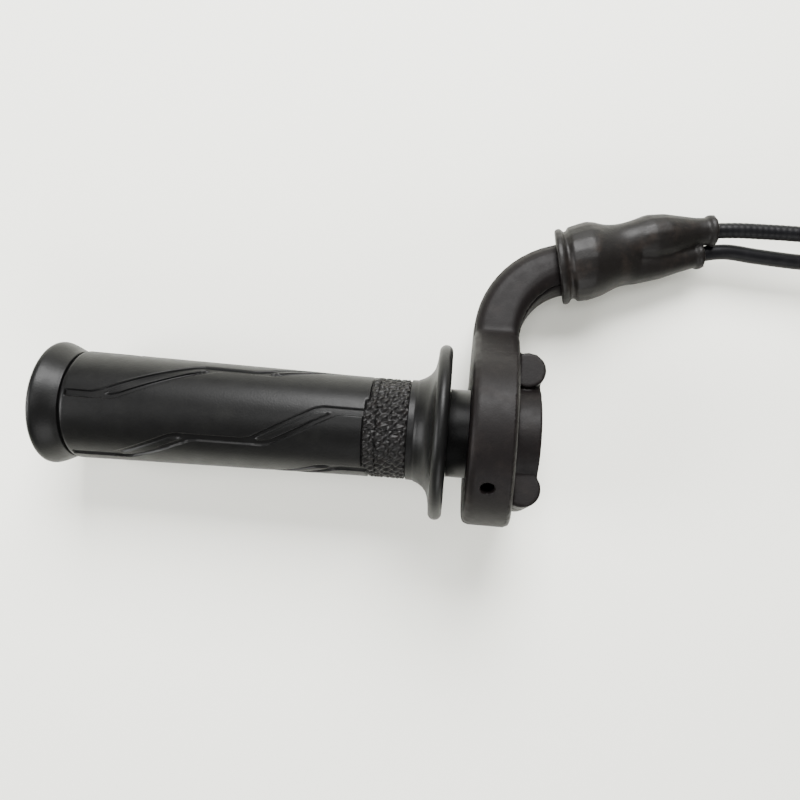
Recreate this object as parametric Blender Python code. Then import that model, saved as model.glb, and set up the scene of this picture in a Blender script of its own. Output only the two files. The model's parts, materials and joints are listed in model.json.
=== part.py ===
"""Right-hand motorcycle throttle: grip, throttle tube, clamp housing with its cable elbow, boot and cables.

Bar frame: +X runs along the handlebar from the grip's outer end towards the housing. The housing has
a frame of its own, rolled about the bar: +Y leads up the cable elbow and +Z out of the upper half.
Both hang on empties, which lay the whole throttle down on the plane z = 0. The cables lie on it.
"""

import math

import bmesh
import bpy
from mathutils import Matrix, Vector

MM = 0.001
GAP = 0.3 * MM  # left between pieces that touch

ORIGIN_X = -102.92 * MM  # the grip's outer end, from the middle of the footprint
ORIGIN_Y = -24.82 * MM  # the bar's axis, from the middle of the footprint

# Handlebar and grip
BAR_R = 11.1 * MM  # 22.2 mm handlebar
LIP_R = 19.05 * MM  # outer end lip
LIP_X = 2.4 * MM
BODY_OUTER_R = 16.7 * MM
BODY_INNER_R = 15.3 * MM
FLANGE_R = 26.6 * MM  # inner flange
FLANGE_X = 121.8 * MM
GRIP_END = 123.8 * MM
GRIP_BORE_R = 12.9 * MM

# Throttle tube and its cable drum
TUBE_R = 12.6 * MM
TUBE_BORE_R = 11.3 * MM
COLLAR_R = 13.4 * MM
COLLAR_X = 124.1 * MM
DRUM_R = 20.4 * MM
GROOVE_R = 17.6 * MM
GROOVE_HALF = 1.1 * MM
GROOVE_PITCH = 4.8 * MM
WIRE_R = 0.75 * MM
WIRE_WRAP_R = GROOVE_R + GAP + WIRE_R  # radius that the wires wrap at, and the cable travel per radian
NIPPLE_R = 2.5 * MM
NIPPLE_ORBIT = 16.6 * MM
PULL_NIPPLE_DEG = -130.0  # angles about the bar, from the elbow's direction towards the upper half
RETURN_NIPPLE_DEG = 205.0

# Housing
CASE_X0 = 129.8 * MM
CASE_X1 = 144.2 * MM
CASE_MID = (CASE_X0 + CASE_X1) / 2
CASE_R = 27.0 * MM
CASE_DRAFT = 1.6 * MM  # the inner side face leans in this much by the top
WALL = 2.2 * MM
CLAMP_X1 = 150.4 * MM
CLAMP_R = 16.0 * MM
BOSS_X = 146.2 * MM
FRONT_BOSS_Y = 18.8 * MM
REAR_BOSS_Y = -16.2 * MM
BOSS_R = 5.3 * MM
BOSSES = {"front": FRONT_BOSS_Y, "rear": REAR_BOSS_Y}
BOSS_TOP = 10.6 * MM
DRAIN_DEG = 132.0
DRAIN_R = 2.0 * MM

# Cable elbow
ELBOW_DROP = 5.0 * MM  # its centreline lies this far below the joint of the two halves
ELBOW_HALF_WIDE = 7.0 * MM  # where it leaves the case
ELBOW_MOUTH_HALF_WIDE = 8.0 * MM
ELBOW_HALF_HIGH = 8.0 * MM
ELBOW_NECK_HIGH = 7.8 * MM  # the case's flanks end this far above and below its centreline
ELBOW_START_Y = 32.5 * MM
ELBOW_BEND_R = 25.5 * MM
ELBOW_BEND_DEG = 73.0
ELBOW_MOUTH = 9.5 * MM  # straight run after the bend

# Boot, cables and what is on them
CABLE_D = 5.0 * MM
CABLE_PITCH = 5.9 * MM  # between the two cables at the elbow's mouth
FERRULE_R = 2.8 * MM
FERRULE_LONG = 8.0 * MM
BOOT_R = 12.8 * MM  # at the bulge, across the two cables
BOOT_FLAT = 0.91  # its height over its width
BOOT_START = 1.2 * MM  # past the end of the bend
BOOT_SLACK = 0.1 * MM  # its clearance over the table, as its section is rolled a little
BOOT_ASIDE = 1.0 * MM  # its centre, outside the elbow's
BOOT_LEAN = 0.20  # the collar sits askew on the elbow: its top is towards the case,
BOOT_TURN = 0.14  # and its outer side towards the cables

# Screws
SCREW_R = 2.4 * MM
SCREW_HEAD_R = 4.1 * MM
INSERT_R = 3.4 * MM
INSERT_LONG = 7.6 * MM

# Coils of the spare cable, one on the other, and the fittings at the cables' far ends
COIL_X = 285.3 * MM  # from the grip's outer end
COIL_Y = 30.5 * MM  # from the bar's axis
COIL_R = 29.5 * MM  # mean radius
COIL_THICK = 2 * CABLE_D + 0.4 * MM  # two turns wide and two high
COIL_BASE = {"pull": 1.4 * MM, "return": 1.4 * MM + COIL_THICK + GAP}
TIE_DEGS = (150.0, 235.0, 305.0)
TIE_WIDE = 4.6 * MM
TIE_THICK = 1.1 * MM
CUP_R = 4.0 * MM
CUP_LONG = 10.0 * MM
CUP_DEPTH = 8.3 * MM
THREAD_R = 3.0 * MM
ADJUSTER_LONG = 46.0 * MM
ADJUSTER_BORE_R = 1.3 * MM
NUT_R = 5.75 * MM
NUT_LONG = 4.0 * MM
NUT_STARTS = (17.0 * MM, 24.0 * MM)
END_NIPPLE_R = 3.0 * MM
END_NIPPLE_LONG = 7.0 * MM

ROUND = 44  # segments round a large turned piece


# ---------------------------------------------------------------------------------------------
# Making objects
# ---------------------------------------------------------------------------------------------


def clear_scene():
    for obj in list(bpy.data.objects):
        bpy.data.objects.remove(obj, do_unlink=True)


def material(name, colour, roughness, metallic=0.0):
    made = bpy.data.materials.new(name)
    made.use_nodes = True
    shader = made.node_tree.nodes["Principled BSDF"]
    shader.inputs["Base Color"].default_value = (*colour, 1.0)
    shader.inputs["Roughness"].default_value = roughness
    shader.inputs["Metallic"].default_value = metallic
    return made


def empty(name, matrix, parent=None):
    made = bpy.data.objects.new(name, None)
    made.empty_display_size = 0.02
    bpy.context.scene.collection.objects.link(made)
    made.parent = parent
    made.matrix_local = matrix
    return made


def piece(name, mesh_builder, finish, parent=None, matrix=None):
    """An object from a bmesh, with its faces turned outwards and its round faces smooth."""
    bmesh.ops.remove_doubles(mesh_builder, verts=mesh_builder.verts, dist=1e-7)
    bmesh.ops.recalc_face_normals(mesh_builder, faces=mesh_builder.faces)
    mesh = bpy.data.meshes.new(name)
    mesh_builder.to_mesh(mesh)
    mesh_builder.free()
    mesh.shade_smooth()
    mesh.set_sharp_from_angle(angle=math.radians(35))
    made = bpy.data.objects.new(name, mesh)
    bpy.context.scene.collection.objects.link(made)
    made.parent = parent
    if matrix is not None:
        made.matrix_local = matrix
    if finish is not None:
        mesh.materials.append(finish)
    return made


def cutter(name, mesh_builder, parent=None, matrix=None):
    made = piece(name, mesh_builder, None, parent, matrix)
    made.hide_render = True
    made.display_type = "WIRE"
    return made


def combine(target, other, operation, solver="EXACT"):
    step = target.modifiers.new(operation.title() + " " + other.name, "BOOLEAN")
    step.operation = operation
    step.solver = solver
    step.object = other


# ---------------------------------------------------------------------------------------------
# Shapes
# ---------------------------------------------------------------------------------------------


def turned(outline, steps=ROUND):
    """Spins a closed outline of (x, radius) points about the X axis."""
    shape = bmesh.new()
    ring = [shape.verts.new((x, 0.0, radius)) for x, radius in outline]
    sides = [shape.edges.new((a, b)) for a, b in zip(ring, ring[1:] + ring[:1])]
    bmesh.ops.spin(
        shape,
        geom=ring + sides,
        cent=(0, 0, 0),
        axis=(1, 0, 0),
        angle=2 * math.pi,
        steps=steps,
        use_merge=True,
    )
    bmesh.ops.remove_doubles(shape, verts=shape.verts, dist=1e-6)
    return shape


def rod(radius, x0, x1, steps=24):
    """A solid round bar along X."""
    shape = bmesh.new()
    along = Matrix.Translation(((x0 + x1) / 2, 0, 0)) @ Matrix.Rotation(math.pi / 2, 4, "Y")
    bmesh.ops.create_cone(
        shape,
        cap_ends=True,
        segments=steps,
        radius1=radius,
        radius2=radius,
        depth=x1 - x0,
        matrix=along,
    )
    return shape


def block(low, high):
    shape = bmesh.new()
    size = Vector(high) - Vector(low)
    centre = (Vector(high) + Vector(low)) / 2
    bmesh.ops.create_cube(shape, size=1.0, matrix=Matrix.Translation(centre) @ Matrix.Diagonal((*size, 1)))
    return shape


def plate(outline, x0, x1, bevel=0.0):
    """A flat (y, z) outline made x1 - x0 thick, with its two rims rounded by bevel."""
    shape = bmesh.new()
    face = shape.faces.new([shape.verts.new((x0, y, z)) for y, z in outline])
    grown = bmesh.ops.extrude_face_region(shape, geom=[face])
    moved = [v for v in grown["geom"] if isinstance(v, bmesh.types.BMVert)]
    bmesh.ops.translate(shape, verts=moved, vec=(x1 - x0, 0, 0))
    bmesh.ops.recalc_face_normals(shape, faces=shape.faces)
    if bevel:
        rims = [e for e in shape.edges if abs(e.verts[0].co.x - e.verts[1].co.x) < 1e-9]
        bmesh.ops.bevel(shape, geom=rims, offset=bevel, segments=2, profile=0.5, affect="EDGES")
    return shape


def loft(sections):
    """A closed solid through rings of points, each ring with the same number of them."""
    shape = bmesh.new()
    rings = [[shape.verts.new(point) for point in section] for section in sections]
    for near, far in zip(rings, rings[1:]):
        for i in range(len(near)):
            j = (i + 1) % len(near)
            shape.faces.new((near[i], near[j], far[j], far[i]))
    shape.faces.new(list(reversed(rings[0])))
    shape.faces.new(rings[-1])
    return shape


def rounded_section(half_wide, half_high, corner, steps=5):
    """(across, up) points of a rectangle with round corners."""
    points = []
    for quarter, (sx, sz) in enumerate(((1, 1), (-1, 1), (-1, -1), (1, -1))):
        for i in range(steps + 1):
            angle = math.radians(90 * (quarter + i / steps))
            across = sx * (half_wide - corner) + corner * math.cos(angle)
            up = sz * (half_high - corner) + corner * math.sin(angle)
            points.append((across, up))
    return points


def oval_section(half_wide, half_high, steps=24):
    turns = (2 * math.pi * i / steps for i in range(steps))
    return [(half_wide * math.cos(a), half_high * math.sin(a)) for a in turns]


def smooth_curve(route, spacing):
    """Points about `spacing` apart on the Catmull-Rom curve through the route's points."""
    ends = [route[0] * 2 - route[1]] + route + [route[-1] * 2 - route[-2]]
    fine = []
    for p0, p1, p2, p3 in zip(ends, ends[1:], ends[2:], ends[3:]):
        for i in range(24):
            t = i / 24
            fine.append(
                0.5
                * (
                    2 * p1
                    + (p2 - p0) * t
                    + (2 * p0 - 5 * p1 + 4 * p2 - p3) * t**2
                    + (3 * p1 - p0 - 3 * p2 + p3) * t**3
                )
            )
    fine.append(route[-1])
    whole = sum((b - a).length for a, b in zip(fine, fine[1:]))
    count = max(2, round(whole / spacing))
    points, done, target = [fine[0]], 0.0, whole / count
    for a, b in zip(fine, fine[1:]):
        step = (b - a).length
        while done + step >= target - 1e-12 and len(points) < count:
            points.append(a.lerp(b, (target - done) / step))
            target += whole / count
        done += step
    return points + [fine[-1]]


def tube(name, points, radius, finish, parent=None, resolution=2):
    """A round cord or wire: a bevelled poly curve with closed ends."""
    curve = bpy.data.curves.new(name, "CURVE")
    curve.dimensions = "3D"
    curve.bevel_depth = radius
    curve.bevel_resolution = resolution
    curve.use_fill_caps = True
    curve.render_resolution_u = 0
    line = curve.splines.new("POLY")
    line.points.add(len(points) - 1)
    for slot, point in zip(line.points, points):
        slot.co = (*point, 1.0)
    curve.materials.append(finish)
    made = bpy.data.objects.new(name, curve)
    bpy.context.scene.collection.objects.link(made)
    made.parent = parent
    return made


# ---------------------------------------------------------------------------------------------
# How the throttle lies: the lip, the flange and the boot touch the table
# ---------------------------------------------------------------------------------------------


def lying_tilt():
    return math.atan2(FLANGE_R - LIP_R, FLANGE_X - LIP_X)


def elbow_line(distance):
    """(point, direction) in the housing's frame, this far along the elbow from its straight start."""
    straight = ELBOW_START_Y
    bend = math.radians(ELBOW_BEND_DEG)
    arc = ELBOW_BEND_R * bend
    if distance <= straight:
        return Vector((CASE_MID, distance, -ELBOW_DROP)), Vector((0, 1, 0))
    turn = min((distance - straight) / ELBOW_BEND_R, bend)
    beyond = max(distance - straight - arc, 0.0)
    direction = Vector((math.sin(turn), math.cos(turn), 0))
    point = Vector(
        (
            CASE_MID + ELBOW_BEND_R * (1 - math.cos(turn)),
            straight + ELBOW_BEND_R * math.sin(turn),
            -ELBOW_DROP,
        )
    )
    return point + direction * beyond, direction


ELBOW_ARC_END = ELBOW_START_Y + ELBOW_BEND_R * math.radians(ELBOW_BEND_DEG)
ELBOW_END = ELBOW_ARC_END + ELBOW_MOUTH


def boot_point(along, across=0.0, up=0.0):
    """A point in the boot's frame: along its axis from the end of the bend, across it and up."""
    start, direction = elbow_line(ELBOW_ARC_END)
    sideways = Vector((-direction.y, direction.x, 0))
    return start + direction * along + sideways * across + Vector((0, 0, up))


def lying_roll():
    """The roll about the bar at which the boot's bulge meets the table."""
    tilt = lying_tilt()
    bulge = boot_point(BOOT_START + 11 * MM, BOOT_ASIDE)
    height = LIP_R * math.cos(tilt) + (bulge.x - LIP_X) * math.sin(tilt)
    wanted = (height - BOOT_R * BOOT_FLAT - BOOT_SLACK) / math.cos(tilt)
    reach = math.hypot(bulge.y, bulge.z)
    return math.asin(wanted / reach) - math.atan2(-bulge.z, bulge.y)


def bar_place():
    """The bar's frame, lying on the plane z = 0."""
    tilt = lying_tilt()
    height = LIP_R * math.cos(tilt) - LIP_X * math.sin(tilt)
    return Matrix.Translation((ORIGIN_X, ORIGIN_Y, height)) @ Matrix.Rotation(-tilt, 4, "Y")


def housing_place():
    return bar_place() @ Matrix.Rotation(-lying_roll(), 4, "X")


def table_point(x, y, z):
    """A point from millimetres: x from the grip's outer end, y from the bar and z from the table."""
    return Vector((ORIGIN_X + x * MM, ORIGIN_Y + y * MM, z * MM))


# ---------------------------------------------------------------------------------------------
# Grip and throttle tube
# ---------------------------------------------------------------------------------------------


def arc_points(cx, cr, radius, start_deg, end_deg, count):
    """(x, radius) points round an arc; 0 degrees points along +X and 90 outwards."""
    turns = (math.radians(start_deg + (end_deg - start_deg) * i / (count - 1)) for i in range(count))
    return [(cx + radius * math.cos(a), cr + radius * math.sin(a)) for a in turns]


def grip_outline():
    band_r = BODY_INNER_R + 0.35 * MM
    outline = [(0.0, 11.7 * MM), (0.0, 14.6 * MM)]
    outline += [  # the lip's rounded outer shoulder
        (0.2 * MM, 16.4 * MM),
        (0.8 * MM, 17.9 * MM),
        (1.5 * MM, 18.8 * MM),
        (LIP_X, LIP_R),
        (3.4 * MM, 18.8 * MM),
        (4.6 * MM, 18.2 * MM),
        (5.8 * MM, 17.3 * MM),
        (6.9 * MM, 16.5 * MM),
        (7.5 * MM, 15.6 * MM),  # ring groove behind the lip
        (8.2 * MM, 15.6 * MM),
        (8.7 * MM, BODY_OUTER_R),
        (60 * MM, (BODY_OUTER_R + BODY_INNER_R) / 2 + 0.1 * MM),
        (97.6 * MM, BODY_INNER_R),
        (98.0 * MM, band_r),  # knurled band
        (110.4 * MM, band_r),
        (110.8 * MM, BODY_INNER_R),
        (112.2 * MM, BODY_INNER_R),  # flare up to the flange
        (115.2 * MM, 16.0 * MM),
        (117.8 * MM, 17.6 * MM),
        (119.1 * MM, 19.8 * MM),
        (119.6 * MM, 23.0 * MM),
    ]
    outline += arc_points(FLANGE_X, FLANGE_R - 2.0 * MM, 2.0 * MM, 170, 0, 6)
    outline += [
        (GRIP_END - 0.2 * MM, 16.0 * MM),
        (GRIP_END - 0.6 * MM, GRIP_BORE_R),
        (1.6 * MM, GRIP_BORE_R),
        (1.6 * MM, 11.7 * MM),
    ]
    return outline


def tube_outline():
    left = DRUM_GROOVES[0]
    right = DRUM_GROOVES[1]
    outline = [(1.9 * MM, TUBE_BORE_R), (1.9 * MM, TUBE_R), (COLLAR_X, TUBE_R)]
    outline += [(COLLAR_X, COLLAR_R), (DRUM_X0, COLLAR_R), (DRUM_X0, DRUM_R)]
    for middle in (left, right):
        outline += [
            (middle - GROOVE_HALF, DRUM_R),
            (middle - GROOVE_HALF, GROOVE_R),
            (middle + GROOVE_HALF, GROOVE_R),
            (middle + GROOVE_HALF, DRUM_R),
        ]
    outline += [(DRUM_X1, DRUM_R), (DRUM_X1, TUBE_BORE_R)]
    return outline


DRUM_X0 = CASE_X0 + WALL + 0.5 * MM
DRUM_X1 = CASE_X1 - WALL - 0.5 * MM
DRUM_GROOVES = (CASE_MID - GROOVE_PITCH / 2, CASE_MID + GROOVE_PITCH / 2)  # return, pull


def round_bar(degrees, radius, x=0.0):
    """A point at this angle about the bar, from the elbow's direction towards the upper half."""
    angle = math.radians(degrees)
    return Vector((x, radius * math.cos(angle), radius * math.sin(angle)))


def make_tube(finish, housing):
    """The throttle tube with its drum. The nipples sit in pockets that open on the drum's faces."""
    made = piece("throttle_tube", turned(tube_outline()), finish, housing)
    pull_pocket = rod(NIPPLE_R + GAP, DRUM_GROOVES[1] - GROOVE_HALF, DRUM_X1 + 1 * MM, 16)
    return_pocket = rod(NIPPLE_R + GAP, DRUM_X0 - 1 * MM, DRUM_GROOVES[0] + GROOVE_HALF, 16)
    for name, shape, degrees in (
        ("pull_pocket", pull_pocket, PULL_NIPPLE_DEG),
        ("return_pocket", return_pocket, RETURN_NIPPLE_DEG),
    ):
        place = Matrix.Translation(round_bar(degrees, NIPPLE_ORBIT))
        combine(made, cutter(name, shape, housing, place), "DIFFERENCE")
    return made


def make_nipples(finish, housing):
    spans = {
        "pull_drum_nipple": (PULL_NIPPLE_DEG, DRUM_GROOVES[1] - GROOVE_HALF + GAP, DRUM_X1 - GAP),
        "return_drum_nipple": (RETURN_NIPPLE_DEG, DRUM_X0 + GAP, DRUM_GROOVES[0] + GROOVE_HALF - GAP),
    }
    for name, (degrees, x0, x1) in spans.items():
        place = Matrix.Translation(round_bar(degrees, NIPPLE_ORBIT))
        piece(name, rod(NIPPLE_R, x0, x1, 20), finish, housing, place)


# ---------------------------------------------------------------------------------------------
# Housing
# ---------------------------------------------------------------------------------------------


def case_outline(radius, neck_low, neck_high, neck_y, steps=32):
    """A circle round the bar with straight flanks that lead to the elbow's neck, as (y, z) points."""

    def touch(z):
        lean = math.atan2(z, neck_y)
        return lean, math.acos(radius / math.hypot(z, neck_y))

    lean, spread = touch(neck_high)
    start = lean + spread
    lean, spread = touch(neck_low)
    end = 2 * math.pi + lean - spread
    turns = (start + (end - start) * i / steps for i in range(steps + 1))
    outline = [(radius * math.cos(a), radius * math.sin(a)) for a in turns]
    return outline + [(neck_y, neck_low), (neck_y, neck_high)]


def drum_case():
    """The case's outer solid: its inner side face leans in towards the top, and its rims are rounded."""
    low, high = -ELBOW_DROP - ELBOW_NECK_HIGH, -ELBOW_DROP + ELBOW_NECK_HIGH
    shape = plate(case_outline(CASE_R, low, high, ELBOW_START_Y), CASE_X0, CASE_X1, 1.8 * MM)
    for vert in shape.verts:
        share = (vert.co.x - CASE_X0) / (CASE_X1 - CASE_X0)
        vert.co.x -= share * CASE_DRAFT * abs(vert.co.z) / CASE_R
    return shape


def drum_space():
    low, high = -ELBOW_DROP - ELBOW_NECK_HIGH + WALL, -ELBOW_DROP + ELBOW_NECK_HIGH - WALL
    outline = case_outline(CASE_R - WALL, low, high, ELBOW_START_Y - 1 * MM)
    return plate(outline, CASE_X0 + WALL, CASE_X1 - WALL)


def swept(distances, section_of):
    """A solid along the elbow, with section_of(distance) giving its (across, up) outline there."""
    sections = []
    for distance in distances:
        point, direction = elbow_line(distance)
        sideways = Vector((direction.y, -direction.x, 0))
        ring = [point + sideways * across + Vector((0, 0, up)) for across, up in section_of(distance)]
        sections.append(ring)
    return loft(sections)


def elbow_distances(start, end, bends=12):
    arc = ELBOW_ARC_END - ELBOW_START_Y
    turn = [ELBOW_START_Y + arc * i / bends for i in range(bends + 1)]
    return [start] + [d for d in turn if start < d < end] + [end]


def elbow_skin(distance):
    """The elbow is boxy where it leaves the case and round at its mouth."""
    share = min(max((distance - 24 * MM) / (ELBOW_ARC_END - 24 * MM), 0.0), 1.0)
    corner = (2.2 + 4.6 * share) * MM
    wide = ELBOW_HALF_WIDE + (ELBOW_MOUTH_HALF_WIDE - ELBOW_HALF_WIDE) * share
    return rounded_section(wide, ELBOW_HALF_HIGH, corner)


def elbow_trough(distance):
    """The wires' way through the elbow: a trough in the lower half, closed by the upper one."""
    wide = CABLE_PITCH / 2 + 1.6 * MM
    low = -2.2 * MM
    return [(wide, low), (wide, ELBOW_DROP + 0.2 * MM), (-wide, ELBOW_DROP + 0.2 * MM), (-wide, low)]


def mouth_pocket(distance):
    """The wider pocket at the mouth, which holds the two ferrules."""
    wide = CABLE_PITCH / 2 + FERRULE_R + GAP
    low = -FERRULE_R - GAP
    return [(wide, low), (wide, ELBOW_DROP + 0.2 * MM), (-wide, ELBOW_DROP + 0.2 * MM), (-wide, low)]


def housing_tools(housing):
    """The solids that both halves are joined from and cut with, hidden from renders."""
    mouth = ELBOW_END - FERRULE_LONG + 1.5 * MM
    upright = Matrix.Rotation(-math.pi / 2, 4, "Y")  # takes +X to +Z
    web_low = (CASE_MID + 1 * MM, REAR_BOSS_Y, -7.9 * MM)
    web_high = (BOSS_X + BOSS_R - 1.2 * MM, FRONT_BOSS_Y, 7.9 * MM)
    tools = {
        "join": [
            cutter("elbow_skin", swept(elbow_distances(20 * MM, ELBOW_END), elbow_skin), housing),
            cutter("clamp_saddle", rod(CLAMP_R, CASE_X1 - 3 * MM, CLAMP_X1, 48), housing),
            cutter("boss_web", block(web_low, web_high), housing),
        ],
        "cut": [
            cutter("drum_space", drum_space(), housing),
            cutter("elbow_trough", swept(elbow_distances(30 * MM, mouth), elbow_trough), housing),
            cutter(
                "mouth_pocket",
                swept([mouth - 0.1 * MM, ELBOW_END + 1 * MM], mouth_pocket),
                housing,
            ),
            cutter("collar_hole", rod(COLLAR_R + 0.5 * MM, CASE_X0 - 2 * MM, CASE_MID, ROUND), housing),
            cutter("bar_hole", rod(BAR_R, CASE_MID, CLAMP_X1 + 2 * MM, ROUND), housing),
        ],
    }
    for side, y in BOSSES.items():
        place = Matrix.Translation((BOSS_X, y, 0)) @ upright
        tools["join"].append(cutter(side + "_boss", rod(BOSS_R, -BOSS_TOP, BOSS_TOP, 28), housing, place))
        shank = rod(SCREW_R + GAP, -BOSS_TOP - 1 * MM, 8.9 * MM, 20)
        tools["cut"].append(cutter(side + "_shank_hole", shank, housing, place))
        head = rod(SCREW_HEAD_R + GAP, -BOSS_TOP - 1 * MM, -BOSS_TOP + 3.0 * MM, 24)
        tools["cut"].append(cutter(side + "_head_hole", head, housing, place))
        seat = rod(INSERT_R + GAP, -0.5 * MM, INSERT_LONG + 1.0 * MM, 24)
        tools["cut"].append(cutter(side + "_insert_hole", seat, housing, place))
    lean = Matrix.Rotation(math.radians(DRAIN_DEG), 4, "X") @ Matrix.Rotation(math.pi / 2, 4, "Z")
    place = Matrix.Translation((CASE_MID - 1.2 * MM, 0, 0)) @ lean
    drain = rod(DRAIN_R, CASE_R - WALL - 2 * MM, CASE_R + 2 * MM, 18)
    tools["cut"].append(cutter("drain_hole", drain, housing, place))
    return tools


def make_housing(finish, housing):
    """Both halves. Their case has curved side faces, which only the manifold solver joins cleanly."""
    tools = housing_tools(housing)
    far = 90 * MM
    halves = {
        "housing_upper": ((0, -far, GAP / 2), (2 * far + CLAMP_X1, far, far)),
        "housing_lower": ((0, -far, -far), (2 * far + CLAMP_X1, far, -GAP / 2)),
    }
    for name, (low, high) in halves.items():
        half = piece(name, drum_case(), finish, housing)
        for tool in tools["join"]:
            combine(half, tool, "UNION", "MANIFOLD")
        for tool in tools["cut"]:
            combine(half, tool, "DIFFERENCE", "MANIFOLD")
        combine(half, cutter(name + "_side", block(low, high), housing), "INTERSECT", "MANIFOLD")


def screw_outline():
    """(x, radius) of a screw whose X runs from its head up into the insert; it is solid."""
    head = -BOSS_TOP + 0.2 * MM
    return [
        (head, 0.0),
        (head, SCREW_HEAD_R - 0.9 * MM),
        (head + 0.9 * MM, SCREW_HEAD_R),
        (head + 2.5 * MM, SCREW_HEAD_R),
        (head + 2.5 * MM, SCREW_R),
        (8.0 * MM, SCREW_R),
        (8.5 * MM, SCREW_R - 0.5 * MM),
        (8.5 * MM, 0.0),
    ]


def turned_solid(outline, steps):
    """Spins an open outline that starts and ends on the X axis."""
    shape = bmesh.new()
    line = [shape.verts.new((x, 0.0, radius)) for x, radius in outline]
    sides = [shape.edges.new((a, b)) for a, b in zip(line, line[1:])]
    bmesh.ops.spin(
        shape,
        geom=line + sides,
        cent=(0, 0, 0),
        axis=(1, 0, 0),
        angle=2 * math.pi,
        steps=steps,
        use_merge=True,
    )
    bmesh.ops.remove_doubles(shape, verts=shape.verts, dist=1e-6)
    return shape


def make_screws(steel, brass, housing):
    upright = Matrix.Rotation(-math.pi / 2, 4, "Y")
    head = -BOSS_TOP + 0.2 * MM
    for side, y in BOSSES.items():
        place = Matrix.Translation((BOSS_X, y, 0)) @ upright
        screw = piece("clamp_screw_" + side, turned_solid(screw_outline(), 24), steel, housing, place)
        socket = rod(2.1 * MM, head - 1 * MM, head + 1.5 * MM, 6)
        combine(screw, cutter(side + "_socket", socket, housing, place), "DIFFERENCE")
        x0, x1 = 0.6 * MM, 0.6 * MM + INSERT_LONG
        ring = [(x0, SCREW_R + GAP), (x0, INSERT_R), (x1, INSERT_R), (x1, SCREW_R + GAP)]
        piece("threaded_insert_" + side, turned(ring, 20), brass, housing, place)


# ---------------------------------------------------------------------------------------------
# Wires, ferrules and boot
# ---------------------------------------------------------------------------------------------


def wire_route(groove_x, across, side, end_deg):
    """From the ferrule back through the elbow, straight to the drum and round it to the nipple.

    side is +1 for the wire that passes over the bar and -1 for the one that passes under it.
    """
    route = []
    start = ELBOW_END - FERRULE_LONG + 1.0 * MM
    for i in range(13):
        distance = start + (ELBOW_START_Y - start) * i / 12
        point, direction = elbow_line(distance)
        route.append(point + Vector((direction.y, -direction.x, 0)) * across)
    last = route[-1]
    reach = math.hypot(last.y, last.z)
    lean = math.degrees(math.atan2(last.z, last.y))
    touch = lean + side * math.degrees(math.acos(WIRE_WRAP_R / reach))
    landing = round_bar(touch, WIRE_WRAP_R, groove_x)
    route += [last.lerp(landing, share) for share in (0.33, 0.66)]
    clear = math.degrees((NIPPLE_R + 1.2 * MM) / NIPPLE_ORBIT)
    finish = end_deg - side * clear
    turns = max(3, round(abs(finish - touch) / 12))
    route += [
        round_bar(touch + (finish - touch) * i / turns, WIRE_WRAP_R, groove_x) for i in range(turns + 1)
    ]
    return route


def make_wires(steel, housing):
    tube(
        "pull_wire",
        wire_route(DRUM_GROOVES[1], CABLE_PITCH / 2, -1, PULL_NIPPLE_DEG),
        WIRE_R,
        steel,
        housing,
        1,
    )
    tube(
        "return_wire",
        wire_route(DRUM_GROOVES[0], -CABLE_PITCH / 2, 1, RETURN_NIPPLE_DEG),
        WIRE_R,
        steel,
        housing,
        1,
    )


def along_boot(across):
    """Takes a piece made along X to the cable at this offset, its X = 0 at the elbow's mouth."""
    start = boot_point(ELBOW_MOUTH, across)
    ahead = boot_point(ELBOW_MOUTH + 0.01, across) - start
    return Matrix.Translation(start) @ ahead.to_track_quat("X", "Z").to_matrix().to_4x4()


def make_ferrules(finish, housing):
    x0, x1 = -FERRULE_LONG + 1.8 * MM, 1.0 * MM
    bore = WIRE_R + GAP
    ring = [(x0, bore), (x0, FERRULE_R - 0.4 * MM), (x0 + 0.4 * MM, FERRULE_R), (x1, FERRULE_R), (x1, bore)]
    piece("pull_ferrule", turned(ring, 20), finish, housing, along_boot(-CABLE_PITCH / 2))
    piece("return_ferrule", turned(ring, 20), finish, housing, along_boot(CABLE_PITCH / 2))


# Boot body: (along, half width, half height over half width), from the elbow towards the cables
BOOT_BODY = (
    (0.0, 12.0, 0.93),
    (0.5, 12.4, 0.92),
    (1.8, 12.4, 0.92),
    (2.3, 12.0, 0.93),
    (2.6, 10.9, 0.96),
    (3.9, 10.9, 0.96),
    (4.5, 12.2, 0.93),
    (8.0, 12.6, 0.92),
    (11.0, 12.8, 0.91),
    (14.0, 11.9, 0.91),
    (16.5, 10.8, 0.90),
    (20.0, 10.0, 0.86),
    (24.0, 8.8, 0.76),
)
# Legs: (along, across, up, half thickness)
LEGS = {
    "return": (
        (13.0, 3.6, 0.6, 6.2),
        (19.0, 3.7, 0.9, 7.2),
        (24.5, 3.5, 1.0, 7.4),
        (31.0, 3.5, 1.1, 7.9),
        (36.0, 3.3, 1.0, 7.3),
        (41.0, 3.0, 0.9, 5.9),
        (46.0, 2.5, 0.8, 4.7),
        (49.4, 2.1, 0.7, 4.4),
        (49.7, 2.05, 0.7, 5.2),
        (51.7, 1.8, 0.6, 5.2),
    ),
    "pull": (
        (13.0, -3.3, -0.5, 6.3),
        (19.0, -3.4, -1.0, 6.1),
        (25.0, -3.5, -1.6, 5.9),
        (32.0, -3.6, -2.3, 5.6),
        (39.0, -3.6, -2.8, 4.7),
        (44.6, -3.7, -3.1, 4.1),
        (44.9, -3.7, -3.1, 4.8),
        (46.8, -3.75, -3.2, 4.8),
    ),
}
SIDES = {"return": 1, "pull": -1}  # each cable's side of the elbow, from the bar outwards
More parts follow.
